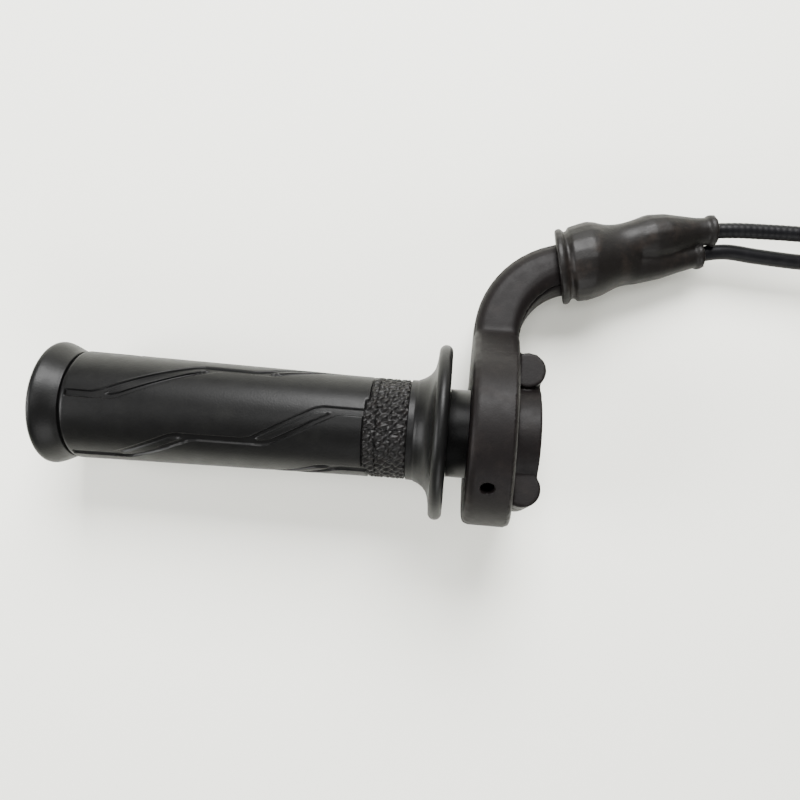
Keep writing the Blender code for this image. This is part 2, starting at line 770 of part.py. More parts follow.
# Each cable's way over the table, in millimetres, from its leg of the boot to its coil
FREE_ROUTES = {
    "return": (
        (213.0, 72.0, 12.8),
        (223.0, 72.2, 13.2),
        (234.0, 72.0, 14.2),
        (250.0, 70.9, 16.2),
        (268.0, 68.8, 18.8),
        (285.3, 68.0, 19.8),
    ),
    "pull": (
        (211.0, 65.6, 9.5),
        (222.0, 64.9, 9.4),
        (236.0, 64.2, 9.3),
        (252.0, 64.4, 9.2),
        (268.0, 66.4, 9.2),
        (285.3, 68.0, 9.2),
    ),
}
# Each cable's way from its coil to its adjuster, which lies along -Y
TAIL_ROUTES = {
    "return": (
        (314.0, 54.6, 14.6),
        (323.5, 43.0, 12.6),
        (332.0, 31.0, 8.6),
        (336.8, 19.0, 6.6),
        (338.0, 8.0, 6.5),
        (338.0, 0.0, 6.5),
    ),
    "pull": ((322.8, 30.5, 6.5), (322.8, 21.0, 6.5), (322.8, 11.0, 6.5)),
}
# Each wire's end: (its start and end, from the adjuster's mouth), in millimetres
WIRE_ENDS = {"return": (16.0, 54.0), "pull": (42.0, 78.0)}


def leg_solid(stations, steps=18):
    """A round tapered leg through its stations, in the housing's frame."""
    centres = [
        boot_point(BOOT_START + along * MM, across * MM, up * MM) for along, across, up, _ in stations
    ]
    sections = []
    for i, (centre, station) in enumerate(zip(centres, stations)):
        ahead = (centres[min(i + 1, len(centres) - 1)] - centres[max(i - 1, 0)]).normalized()
        sideways = Vector((0, 0, 1)).cross(ahead).normalized()
        upward = ahead.cross(sideways)
        radius = station[3] * MM
        sections.append([centre + sideways * a + upward * b for a, b in oval_section(radius, radius, steps)])
    return loft(sections)


def boot_body_solid(stations):
    sections = []
    for along, half, flat in stations:
        askew = max(0.0, 1 - along / 20)
        ring = []
        for across, up in oval_section(half * MM, half * flat * MM):
            shift = askew * (BOOT_TURN * across - BOOT_LEAN * up)
            ring.append(boot_point(BOOT_START + along * MM + shift, BOOT_ASIDE + across, up))
        sections.append(ring)
    return loft(sections)


def cable_points(name):
    """The sheath's centre line from its ferrule, through its leg of the boot and on to its coil."""
    place = housing_place()
    across = SIDES[name] * CABLE_PITCH / 2
    held = [boot_point(ELBOW_MOUTH + 1.3 * MM, across), boot_point(ELBOW_MOUTH + 4.0 * MM, across)]
    held += [boot_point(BOOT_START + s[0] * MM, s[1] * MM, s[2] * MM) for s in LEGS[name][2:-1]]
    route = [place @ point for point in held] + [table_point(*point) for point in FREE_ROUTES[name]]
    return smooth_curve(route, 2.2 * CABLE_D)


def passage_solid(points, radius, steps=14):
    """A round passage along the first of a cable's points, a little beyond its leg of the boot."""
    line = [points[0] + (points[0] - points[1]).normalized() * 0.4 * MM] + points[1:7]
    sections = []
    for i, centre in enumerate(line):
        ahead = (line[min(i + 1, len(line) - 1)] - line[max(i - 1, 0)]).normalized()
        sideways = Vector((0, 0, 1)).cross(ahead).normalized()
        upward = ahead.cross(sideways)
        sections.append([centre + sideways * a + upward * b for a, b in oval_section(radius, radius, steps)])
    return loft(sections)


def boot_socket():
    """The space in the boot for the end of the elbow, a gap clear of it all round."""
    stations = elbow_distances(ELBOW_ARC_END - 4 * MM, ELBOW_END + 1.6 * MM)

    def skin(distance):
        return rounded_section(ELBOW_MOUTH_HALF_WIDE + GAP, ELBOW_HALF_HIGH + GAP, 6.8 * MM + GAP)

    return swept(stations, skin)


def make_boot(finish, housing):
    boot = piece("cable_boot", boot_body_solid(BOOT_BODY), finish, housing)
    for name, stations in LEGS.items():
        combine(boot, cutter(name + "_leg", leg_solid(stations), housing), "UNION")
    combine(boot, cutter("boot_socket", boot_socket(), housing), "DIFFERENCE")
    for name in LEGS:
        passage = passage_solid(cable_points(name), CABLE_D / 2 + GAP)
        combine(boot, cutter(name + "_passage", passage), "DIFFERENCE")
    return boot


# ---------------------------------------------------------------------------------------------
# Cables beyond the boot
# ---------------------------------------------------------------------------------------------


def coil_solid():
    """A ring of the coiled cable's outer shape, standing on its frame's XY plane."""
    inner, outer = COIL_R - COIL_THICK / 2, COIL_R + COIL_THICK / 2
    corner = 1.6 * MM
    section = [
        (0.0, inner + corner),
        (corner, inner),
        (COIL_THICK - corner, inner),
        (COIL_THICK, inner + corner),
        (COIL_THICK, outer - corner),
        (COIL_THICK - corner, outer),
        (corner, outer),
        (0.0, outer - corner),
    ]
    return turned(section)


def make_coils(finish):
    upright = Matrix.Rotation(-math.pi / 2, 4, "Y")
    for name, base in COIL_BASE.items():
        place = Matrix.Translation(table_point(COIL_X / MM, COIL_Y / MM, base / MM)) @ upright
        piece(name + "_cable_coil", coil_solid(), finish, None, place)


def tie_solid():
    """A flat strap round both coils; +Y points away from their middle."""
    high = COIL_BASE["return"] + COIL_THICK
    low = COIL_BASE["pull"] - GAP - TIE_THICK
    inside = (COIL_R - COIL_THICK / 2 - 0.4 * MM, COIL_R + COIL_THICK / 2 + GAP)
    half = TIE_WIDE / 2
    shape = bmesh.new()
    inner = [(inside[0], low + TIE_THICK), (inside[1], low + TIE_THICK), (inside[1], high + GAP)]
    inner += [(inside[0], high + GAP)]
    outer = [(inside[0] - TIE_THICK, low), (inside[1] + TIE_THICK, low)]
    outer += [(inside[1] + TIE_THICK, high + GAP + TIE_THICK), (inside[0] - TIE_THICK, high + GAP + TIE_THICK)]
    loops = []
    for x, line in ((-half, outer), (half, outer), (half, inner), (-half, inner)):
        loops.append([shape.verts.new((x, y, z)) for y, z in line])
    for near, far in zip(loops, loops[1:] + loops[:1]):
        for i in range(4):
            j = (i + 1) % 4
            shape.faces.new((near[i], near[j], far[j], far[i]))
    return shape


def make_ties(finish):
    for number, degrees in enumerate(TIE_DEGS, start=1):
        turn = Matrix.Rotation(math.radians(degrees - 90), 4, "Z")
        place = Matrix.Translation(table_point(COIL_X / MM, COIL_Y / MM, 0)) @ turn
        piece("coil_tie_" + str(number), tie_solid(), finish, None, place)


def adjuster_outline():
    chamfer = 0.4 * MM
    return [
        (0.0, CABLE_D / 2 + GAP),
        (0.0, CUP_R - chamfer),
        (chamfer, CUP_R),
        (CUP_LONG, CUP_R),
        (CUP_LONG + 0.6 * MM, THREAD_R),
        (ADJUSTER_LONG - chamfer, THREAD_R),
        (ADJUSTER_LONG, THREAD_R - chamfer),
        (ADJUSTER_LONG, ADJUSTER_BORE_R),
        (CUP_DEPTH, ADJUSTER_BORE_R),
        (CUP_DEPTH, CABLE_D / 2 + GAP),
    ]


def make_cable(name, sheath, steel, brass):
    """One cable: its sheath to the coil and from it, its adjuster with two nuts, and its wire's end."""
    tube(name + "_cable_sheath", cable_points(name), CABLE_D / 2, sheath)
    tail = [table_point(*point) for point in TAIL_ROUTES[name]]
    tube(name + "_cable_tail", smooth_curve(tail, 2.0 * CABLE_D), CABLE_D / 2, sheath)
    along_cable = Matrix.Rotation(-math.pi / 2, 4, "Z")  # takes +X to -Y
    place = Matrix.Translation(tail[-1] + Vector((0, CUP_DEPTH - GAP, 0))) @ along_cable
    piece(name + "_adjuster", turned(adjuster_outline(), 20), steel, None, place)
    for number, start in enumerate(NUT_STARTS, start=1):
        hexagon = rod(NUT_R, start, start + NUT_LONG, 6)
        nut = piece(name + "_lock_nut_" + str(number), hexagon, steel, None, place)
        hole = rod(THREAD_R + GAP, start - 1 * MM, start + NUT_LONG + 1 * MM, 20)
        combine(nut, cutter(name + "_nut_hole_" + str(number), hole, None, place), "DIFFERENCE")
    x0, x1 = (distance * MM for distance in WIRE_ENDS[name])
    piece(name + "_wire_end", rod(WIRE_R, x0, x1, 12), steel, None, place)
    across = Matrix.Translation((x1 + GAP + END_NIPPLE_R, 0, 0)) @ Matrix.Rotation(math.pi / 2, 4, "Z")
    nipple = rod(END_NIPPLE_R, -END_NIPPLE_LONG / 2, END_NIPPLE_LONG / 2, 20)
    piece(name + "_end_nipple", nipple, brass, None, place @ across)


# ---------------------------------------------------------------------------------------------
# The whole throttle
# ---------------------------------------------------------------------------------------------


def main():
    clear_scene()
    rubber = material("black_rubber", (0.018, 0.018, 0.019), 0.42)
    plastic = material("black_nylon", (0.020, 0.019, 0.020), 0.55)
    tube_plastic = material("black_acetal", (0.016, 0.016, 0.017), 0.40)
    boot_rubber = material("boot_rubber", (0.030, 0.026, 0.024), 0.50)
    sheath = material("cable_sheath", (0.022, 0.021, 0.024), 0.45)
    nylon = material("natural_nylon", (0.70, 0.68, 0.62), 0.50)
    steel = material("zinc_plated_steel", (0.55, 0.55, 0.53), 0.35, 1.0)
    brass = material("brass", (0.65, 0.48, 0.22), 0.35, 1.0)

    bar = empty("bar_axis", bar_place())
    housing = empty("housing_roll", housing_place())
    piece("grip_rubber", turned(grip_outline()), rubber, bar)
    make_tube(tube_plastic, housing)
    make_nipples(brass, housing)
    make_housing(plastic, housing)
    make_screws(steel, brass, housing)
    make_wires(steel, housing)
    make_ferrules(steel, housing)
    make_boot(boot_rubber, housing)
    for name in SIDES:
        make_cable(name, sheath, steel, brass)
    make_coils(sheath)
    make_ties(nylon)


main()
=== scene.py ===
"""The looks of a right-hand motorcycle throttle: grip, clamp housing, boot, cables and their fittings.

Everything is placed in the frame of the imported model, in metres. Sizes in the classes are millimetres.
"""

import json
import logging
import math
from dataclasses import dataclass
from enum import Enum
from typing import Any, Callable, Optional, Sequence

import bpy
import numpy as np
from mathutils import Matrix, Vector


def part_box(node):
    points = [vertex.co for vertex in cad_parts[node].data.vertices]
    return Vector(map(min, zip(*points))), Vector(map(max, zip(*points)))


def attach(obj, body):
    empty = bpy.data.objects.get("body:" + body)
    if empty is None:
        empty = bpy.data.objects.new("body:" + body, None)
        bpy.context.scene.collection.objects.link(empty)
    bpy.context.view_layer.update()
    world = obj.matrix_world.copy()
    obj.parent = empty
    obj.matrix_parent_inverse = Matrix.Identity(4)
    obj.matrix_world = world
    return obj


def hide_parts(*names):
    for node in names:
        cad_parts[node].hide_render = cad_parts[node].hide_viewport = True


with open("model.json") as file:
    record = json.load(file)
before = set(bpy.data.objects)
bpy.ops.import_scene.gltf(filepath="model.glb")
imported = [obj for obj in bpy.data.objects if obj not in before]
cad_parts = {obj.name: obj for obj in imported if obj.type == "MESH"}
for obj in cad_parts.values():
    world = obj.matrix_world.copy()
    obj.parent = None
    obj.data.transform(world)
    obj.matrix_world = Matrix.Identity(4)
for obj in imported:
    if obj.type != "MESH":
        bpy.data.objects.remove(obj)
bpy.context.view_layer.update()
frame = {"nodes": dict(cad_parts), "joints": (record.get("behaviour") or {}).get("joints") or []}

MM = 0.001
MERGE_MM = 0.001  # points closer than this are one
SHARP = math.radians(40.0)  # edges that turn by more than this stay sharp
log = logging.getLogger("throttle")


class Body(Enum):
    """The rigid bodies that the pieces ride on."""

    HOUSING = "housing"
    THROTTLE = "throttle"
    PULL_END = "pull_end"
    RETURN_END = "return_end"


# ---- Finishes ----


def linear(hex_colour: str) -> tuple[float, float, float, float]:
    """Turns an sRGB colour into the linear values that a shader takes.

    Args:
        hex_colour: six hexadecimal digits, red first.

    Returns:
        Linear red, green and blue, and an alpha of 1.
    """
    parts = [int(hex_colour[i : i + 2], 16) / 255 for i in (0, 2, 4)]
    lit = [c / 12.92 if c <= 0.04045 else ((c + 0.055) / 1.055) ** 2.4 for c in parts]
    return (lit[0], lit[1], lit[2], 1.0)


def add_node(
    tree: Any, kind: str, settings: dict[str, Any], links: Optional[dict[str, Any]] = None
) -> Any:
    """Adds one shader node.

    Args:
        tree: the node tree that it goes in.
        kind: the node's type name.
        settings: values by name, of its input sockets or else of its own attributes.
        links: output sockets by the name of the input that each one feeds.

    Returns:
        The new node.
    """
    made = tree.nodes.new(kind)
    for name, value in settings.items():
        if name in made.inputs:
            made.inputs[name].default_value = value
        else:
            setattr(made, name, value)
    for name, socket in (links or {}).items():
        tree.links.new(socket, made.inputs[name])
    return made


@dataclass(frozen=True)
class Finish:
    """A surface with uneven colour and gloss, and a fine grain that stands in relief."""

    name: str
    slot: str  # the record's material slot
    colour: str
    worn: str  # its second colour, in soft patches: dust, bloom or wear
    worn_share: float  # how much of it there is, from 0 to 1
    patch_mm: float  # how wide the patches are
    rough: tuple[float, float]  # its least and greatest roughness
    grain_mm: float
    grain_depth_mm: float
    metallic: float = 0.0
    coat: float = 0.0
    stretch: tuple[float, float, float] = (1.0, 1.0, 1.0)  # of the grain, for drawn or brushed stock
    specular: float = 0.25

    def material(self) -> bpy.types.Material:
        """Builds the material, or gives the one already built."""
        known = bpy.data.materials.get(self.name)
        if known:
            return known
        made = bpy.data.materials.new(self.name)
        made.use_nodes = True
        tree = made.node_tree
        shader = tree.nodes["Principled BSDF"]
        place = add_node(tree, "ShaderNodeTexCoord", {}).outputs["Object"]
        patches = add_node(
            tree,
            "ShaderNodeTexNoise",
            {"Scale": 1 / (self.patch_mm * MM), "Detail": 4.0, "Roughness": 0.6},
            {"Vector": place},
        )
        ramp = add_node(tree, "ShaderNodeValToRGB", {}, {"Fac": patches.outputs["Fac"]})
        ramp.color_ramp.elements[0].position = 0.72 - 0.4 * self.worn_share
        ramp.color_ramp.elements[0].color = linear(self.colour)
        ramp.color_ramp.elements[1].position = 0.92 - 0.3 * self.worn_share
        ramp.color_ramp.elements[1].color = linear(self.worn)
        tree.links.new(ramp.outputs["Color"], shader.inputs["Base Color"])
        gloss = add_node(
            tree,
            "ShaderNodeTexNoise",
            {"Scale": 2.3 / (self.patch_mm * MM), "Detail": 3.0},
            {"Vector": place},
        )
        spread = add_node(
            tree,
            "ShaderNodeMapRange",
            {"To Min": self.rough[0], "To Max": self.rough[1]},
            {"Value": gloss.outputs["Fac"]},
        )
        tree.links.new(spread.outputs["Result"], shader.inputs["Roughness"])
        drawn = add_node(tree, "ShaderNodeMapping", {"Scale": self.stretch}, {"Vector": place})
        grain = add_node(
            tree,
            "ShaderNodeTexNoise",
            {"Scale": 1 / (self.grain_mm * MM), "Detail": 2.0},
            {"Vector": drawn.outputs["Vector"]},
        )
        bump = add_node(
            tree,
            "ShaderNodeBump",
            {"Strength": 1.0, "Distance": self.grain_depth_mm * MM},
            {"Height": grain.outputs["Fac"]},
        )
        tree.links.new(bump.outputs["Normal"], shader.inputs["Normal"])
        shader.inputs["Metallic"].default_value = self.metallic
        shader.inputs["Coat Weight"].default_value = self.coat
        shader.inputs["Coat Roughness"].default_value = 0.25
        shader.inputs["Specular IOR Level"].default_value = self.specular
        return made


# Compression-moulded natural rubber: black with a faint grey bloom, and a fine skin that shines softly.
GRIP_RUBBER = Finish(
    "moulded_grip_rubber", "grip_rubber", "080808", "10100f", 0.45, 9.0, (0.34, 0.50), 0.55, 0.04,
    coat=0.03, specular=0.14,
)
# The same rubber on the scales of the knurl, where dust stays.
KNURL_RUBBER = Finish(
    "knurled_grip_rubber", "grip_rubber", "0b0a0a", "161312", 0.55, 2.2, (0.34, 0.54), 0.35, 0.05,
    specular=0.16,
)
# Glass-filled nylon: satin black, mottled where the glass lies near the surface, with tool marks.
HOUSING_NYLON = Finish(
    "glass_filled_nylon", "housing_plastic", "0d0a0a", "151110", 0.5, 6.0, (0.42, 0.60), 0.42, 0.045,
    specular=0.11,
)
# Turned and moulded acetal: black and slippery, so it keeps a clean soft shine.
TUBE_ACETAL = Finish(
    "black_acetal", "tube_plastic", "070707", "0c0c0c", 0.4, 7.0, (0.26, 0.40), 0.5, 0.015, specular=0.14
)
# Soft moulded rubber that has stood in dust: brown-grey bloom over black.
BOOT_RUBBER = Finish(
    "dusty_soft_rubber", "boot_rubber", "0e0c0b", "1e1916", 0.55, 6.0, (0.36, 0.58), 0.6, 0.05,
    coat=0.02, specular=0.16,
)
# Extruded polyethylene over the steel spiral.
SHEATH_POLYETHYLENE = Finish(
    "extruded_polyethylene", "cable_sheath", "0a0a0c", "141315", 0.5, 8.0, (0.38, 0.52), 0.5, 0.02,
    specular=0.11,
)
# Moulded nylon 6.6 straps, undyed.
TIE_NYLON = Finish("undyed_nylon", "tie_nylon", "c9c5b6", "dad7cb", 0.5, 4.0, (0.38, 0.52), 0.4, 0.02)
# Bright zinc plating on turned steel, with the faint yellow of its passivation.
PLATED_STEEL = Finish(
    "zinc_plated_steel", "plated_steel", "b8b6a8", "a7a08a", 0.45, 3.0, (0.24, 0.40), 0.3, 0.02, metallic=1.0
)
SCREW_STEEL = Finish(
    "zinc_plated_screw", "screw_steel", "b4b4ae", "9d9a90", 0.45, 2.5, (0.28, 0.44), 0.3, 0.02, metallic=1.0
)
# Drawn galvanised wire, oiled.
WIRE_STEEL = Finish(
    "galvanised_wire", "wire_steel", "9c9c98", "84837d", 0.5, 1.5, (0.30, 0.45), 0.25, 0.02, metallic=1.0
)
# Turned brass with fine tool rings.
TURNED_BRASS = Finish(
    "turned_brass", "brass", "c8a560", "a98746", 0.45, 2.0, (0.24, 0.42), 0.25, 0.02, metallic=1.0
)


# ---- Making pieces ----


def alone(obj: bpy.types.Object) -> None:
    """Leaves one object selected, and active.

    Args:
        obj: the object.
    """
    bpy.ops.object.select_all(action="DESELECT")
    obj.select_set(True)
    bpy.context.view_layer.objects.active = obj


def finish_piece(
    obj: bpy.types.Object, name: str, look: Finish, body: Body, replaced: Sequence[str] = ()
) -> bpy.types.Object:
    """Names a piece, dresses it and puts it on its body.

    Args:
        obj: the piece, with its place in its mesh.
        name: its name.
        look: its finish.
        body: the body that it rides on.
        replaced: the CAD nodes that it stands for.

    Returns:
        The piece.
    """
    obj.name = name
    obj.data.name = name
    obj.data.materials.clear()
    obj.data.materials.append(look.material())
    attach(obj, body.value)
    if replaced:
        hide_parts(*replaced)
    log.info("%s: %d faces", name, len(obj.data.polygons))
    return obj


def clean(obj: bpy.types.Object) -> None:
    """Merges doubled points, turns the faces outwards and shades the round faces smooth.

    Args:
        obj: the piece.
    """
    alone(obj)
    bpy.ops.object.mode_set(mode="EDIT")
    bpy.ops.mesh.select_all(action="SELECT")
    bpy.ops.mesh.remove_doubles(threshold=MERGE_MM * MM)
    bpy.ops.mesh.normals_make_consistent(inside=False)
    bpy.ops.object.mode_set(mode="OBJECT")
    bpy.ops.object.shade_smooth_by_angle(angle=SHARP)


def apply_modifier(obj: bpy.types.Object, kind: str, **settings: Any) -> None:
    """Adds one modifier to a piece and applies it.

    Args:
        obj: the piece.
        kind: the modifier's type name.
        settings: values for its attributes.
    """
    alone(obj)
    step = obj.modifiers.new(kind.title(), kind)
    for name, value in settings.items():
        setattr(step, name, value)
    bpy.ops.object.modifier_apply(modifier=step.name)


def copied_node(node: str) -> bpy.types.Object:
    """Copies a CAD node, free of its body and with its loose triangles merged.

    Args:
        node: the node's name.

    Returns:
        The new piece.
    """
    source = frame["nodes"][node]
    made = source.copy()
    made.data = source.data.copy()
    for key in list(made.keys()):
        del made[key]
    made.parent = None
    made.matrix_world = Matrix.Identity(4)
    bpy.context.scene.collection.objects.link(made)
    clean(made)
    return made


def remoulded(node: str, voxel_mm: float, smoothing: int) -> bpy.types.Object:
    """A CAD node's shape with the soft edges of a moulding.

    Args:
        node: the node's name.
        voxel_mm: the size of its new facets.
        smoothing: how many times each point moves towards its neighbours.

    Returns:
        The new piece.
    """
    made = copied_node(node)
    apply_modifier(made, "REMESH", mode="VOXEL", voxel_size=voxel_mm * MM)
    apply_modifier(made, "SMOOTH", factor=0.5, iterations=smoothing)
    bpy.ops.object.shade_smooth()
    return made


def refined(node: str, edge_mm: float) -> bpy.types.Object:
    """A CAD node's shape with its edges broken by a small bevel.

    Args:
        node: the node's name.
        edge_mm: how wide the bevel is.

    Returns:
        The new piece.
    """
    made = copied_node(node)
    apply_modifier(made, "BEVEL", width=edge_mm * MM, segments=2, limit_method="ANGLE", angle_limit=SHARP)
    bpy.ops.object.shade_smooth_by_angle(angle=SHARP)
    return made


@dataclass(frozen=True)
class Axis:
    """A line that turned pieces stand on: where it starts, its direction, and what is up round it."""

    start: Vector
    along: Vector
    up: Vector

    def points(self, x: np.ndarray, radius: np.ndarray, angle: np.ndarray) -> np.ndarray:
        """Places points round the axis.

        Args:
            x: millimetres along it.
            radius: millimetres from it.
            angle: radians from up.

        Returns:
            World points in metres, one a row.
        """
        side = np.array(self.up.cross(self.along))
        ahead, upward = np.array(self.along), np.array(self.up)
        across = np.outer(radius * np.sin(angle), side) + np.outer(radius * np.cos(angle), upward)
        return np.array(self.start) + (np.outer(x, ahead) + across) * MM


Relief = Callable[[np.ndarray, np.ndarray], np.ndarray]


def turned(
    axis: Axis,
    profile: np.ndarray,
    angles: np.ndarray,
    relief: Optional[Relief] = None,
    skew: Optional[Relief] = None,
) -> bpy.types.Object:
    """Wraps a grid round an axis, along a profile.

    Args:
        axis: what it turns about.
        profile: (x, radius) points in millimetres, in order; a closed one ends where it starts.
        angles: the grid's angles round the axis, the last one a full turn past the first.
        relief: gives the radius to add, from x and the grid's angle.
        skew: gives an angle to add in the same way, so that the grid's lines can follow a pattern.

    Returns:
        The new object, closed where the profile is.
    """
    rows, columns = len(profile) - 1, len(angles) - 1
    bpy.ops.object.select_all(action="DESELECT")
    bpy.ops.mesh.primitive_grid_add(x_subdivisions=rows, y_subdivisions=columns, size=1.0)
    made = bpy.context.object
    flat = np.empty(len(made.data.vertices) * 3, np.float32)
    made.data.vertices.foreach_get("co", flat)
    flat = flat.reshape(-1, 3)
    row = np.rint((flat[:, 0] + 0.5) * rows).astype(int)
    column = np.rint((flat[:, 1] + 0.5) * columns).astype(int)
    x, radius = profile[row, 0], profile[row, 1].copy()
    angle = angles[column].copy()
    if relief is not None:
        radius += relief(x, angle)
    if skew is not None:
        angle += skew(x, angle)
    made.data.vertices.foreach_set("co", axis.points(x, radius, angle).astype(np.float32).ravel())
    made.data.update()
    clean(made)
    return made


def even_angles(count: int) -> np.ndarray:
    """A full turn in equal steps."""
    return np.linspace(0.0, 2 * math.pi, count + 1)


def soft_step(distance: np.ndarray, width: float) -> np.ndarray:
    """0 below zero, 1 past the width, and smooth between."""
    share = np.clip(distance / width, 0.0, 1.0)
    return share * share * (3 - 2 * share)


def smooth_line(route: Sequence[Sequence[float]], spacing: float) -> np.ndarray:
    """Evenly spaced points on a smooth curve through a route.

    Args:
        route: the points that it passes through.
        spacing: about how far apart the new points are, in the route's own unit.

    Returns:
        The points, from the route's first to its last.
    """
    held = np.array(route, float)
    ends = np.vstack([2 * held[0] - held[1], held, 2 * held[-1] - held[-2]])
    fine = []
    steps = np.linspace(0, 1, 17)[:-1, None]
    for p0, p1, p2, p3 in zip(ends, ends[1:], ends[2:], ends[3:]):
        fine.append(
            0.5
            * (
                2 * p1
                + (p2 - p0) * steps
                + (2 * p0 - 5 * p1 + 4 * p2 - p3) * steps**2
                + (3 * p1 - p0 - 3 * p2 + p3) * steps**3
            )
        )
    line = np.vstack(fine + [held[-1:]])
    gone = np.concatenate([[0.0], np.cumsum(np.linalg.norm(np.diff(line, axis=0), axis=1))])
    stops = np.linspace(0.0, gone[-1], max(2, round(gone[-1] / spacing)) + 1)
    return np.column_stack([np.interp(stops, gone, line[:, k]) for k in range(line.shape[1])])


def dense(points: Sequence[tuple[float, float]], spacing: float) -> np.ndarray:
    """Divides the straight runs between points.

    Args:
        points: the ends of the runs.
        spacing: the furthest apart that the new points may be.

    Returns:
        The given points and the new ones, in order.
    """
    made = [np.array(points[0], float)]
    for a, b in zip(np.array(points, float), np.array(points[1:], float)):
        count = max(1, math.ceil(float(np.linalg.norm(b - a)) / spacing))
        made += [a + (b - a) * i / count for i in range(1, count + 1)]
    return np.array(made)


def joined(*runs: np.ndarray) -> np.ndarray:
    """Joins runs of points.

    Args:
        runs: the runs, in order.

    Returns:
        One run, without the points that neighbours share.
    """
    whole = np.vstack(runs)
    apart = np.linalg.norm(np.diff(whole, axis=0), axis=1) > 1e-6
    return whole[np.concatenate([[True], apart])]


def swept_tube(
    line: np.ndarray, radius: Callable[[np.ndarray, np.ndarray], np.ndarray], sides: int
) -> bpy.types.Object:
    """A closed tube along a line, whose radius may vary.

    Args:
        line: its centre line in metres, finely spaced.
        radius: gives metres from the distance along the line and the angle round it.
        sides: how many sides it has.

    Returns:
        The new object.
    """
    ahead = np.gradient(line, axis=0)
    ahead /= np.linalg.norm(ahead, axis=1)[:, None]
    side = np.cross(ahead[0], (0.0, 0.0, 1.0))
    side /= np.linalg.norm(side)
    gone = np.concatenate([[0.0], np.cumsum(np.linalg.norm(np.diff(line, axis=0), axis=1))])
    turns = np.linspace(0, 2 * math.pi, sides, endpoint=False)
    rings = []
    for here, direction, distance in zip(line, ahead, gone):
        side = side - direction * np.dot(side, direction)
        side /= np.linalg.norm(side)
        upward = np.cross(direction, side)
        size = radius(np.full(sides, distance), turns)
        rings.append(here + np.outer(size * np.cos(turns), side) + np.outer(size * np.sin(turns), upward))
    count = len(rings)
    near = np.arange((count - 1) * sides)
    turn = near - near % sides + (near + 1) % sides
    quads = np.column_stack([near, turn, turn + sides, near + sides]).tolist()
    caps = [list(range(sides))[::-1], list(range((count - 1) * sides, count * sides))]
    mesh = bpy.data.meshes.new("tube")
    mesh.from_pydata(np.vstack(rings).tolist(), [], quads + caps)
    made = bpy.data.objects.new("tube", mesh)
    bpy.context.scene.collection.objects.link(made)
    clean(made)
    return made


# ---- The bar's axis ----

TWIST = next(joint for joint in frame["joints"] if joint["name"] == "throttle_twist")
TWIST_FROM_END_MM = 137.0  # the twist joint's point, from the grip's outer end


def bar_axis() -> Axis:
    """The handlebar's axis, from the grip's outer end towards the housing.

    Returns:
        The axis, whose angles run from its upper side.
    """
    along = -Vector(TWIST["axis"]).normalized()
    start = Vector(TWIST["pos_m"]) - along * TWIST_FROM_END_MM * MM
    up = along.cross(Vector((0, 1, 0))).normalized()
    return Axis(start, along, up)


# ---- Grip ----


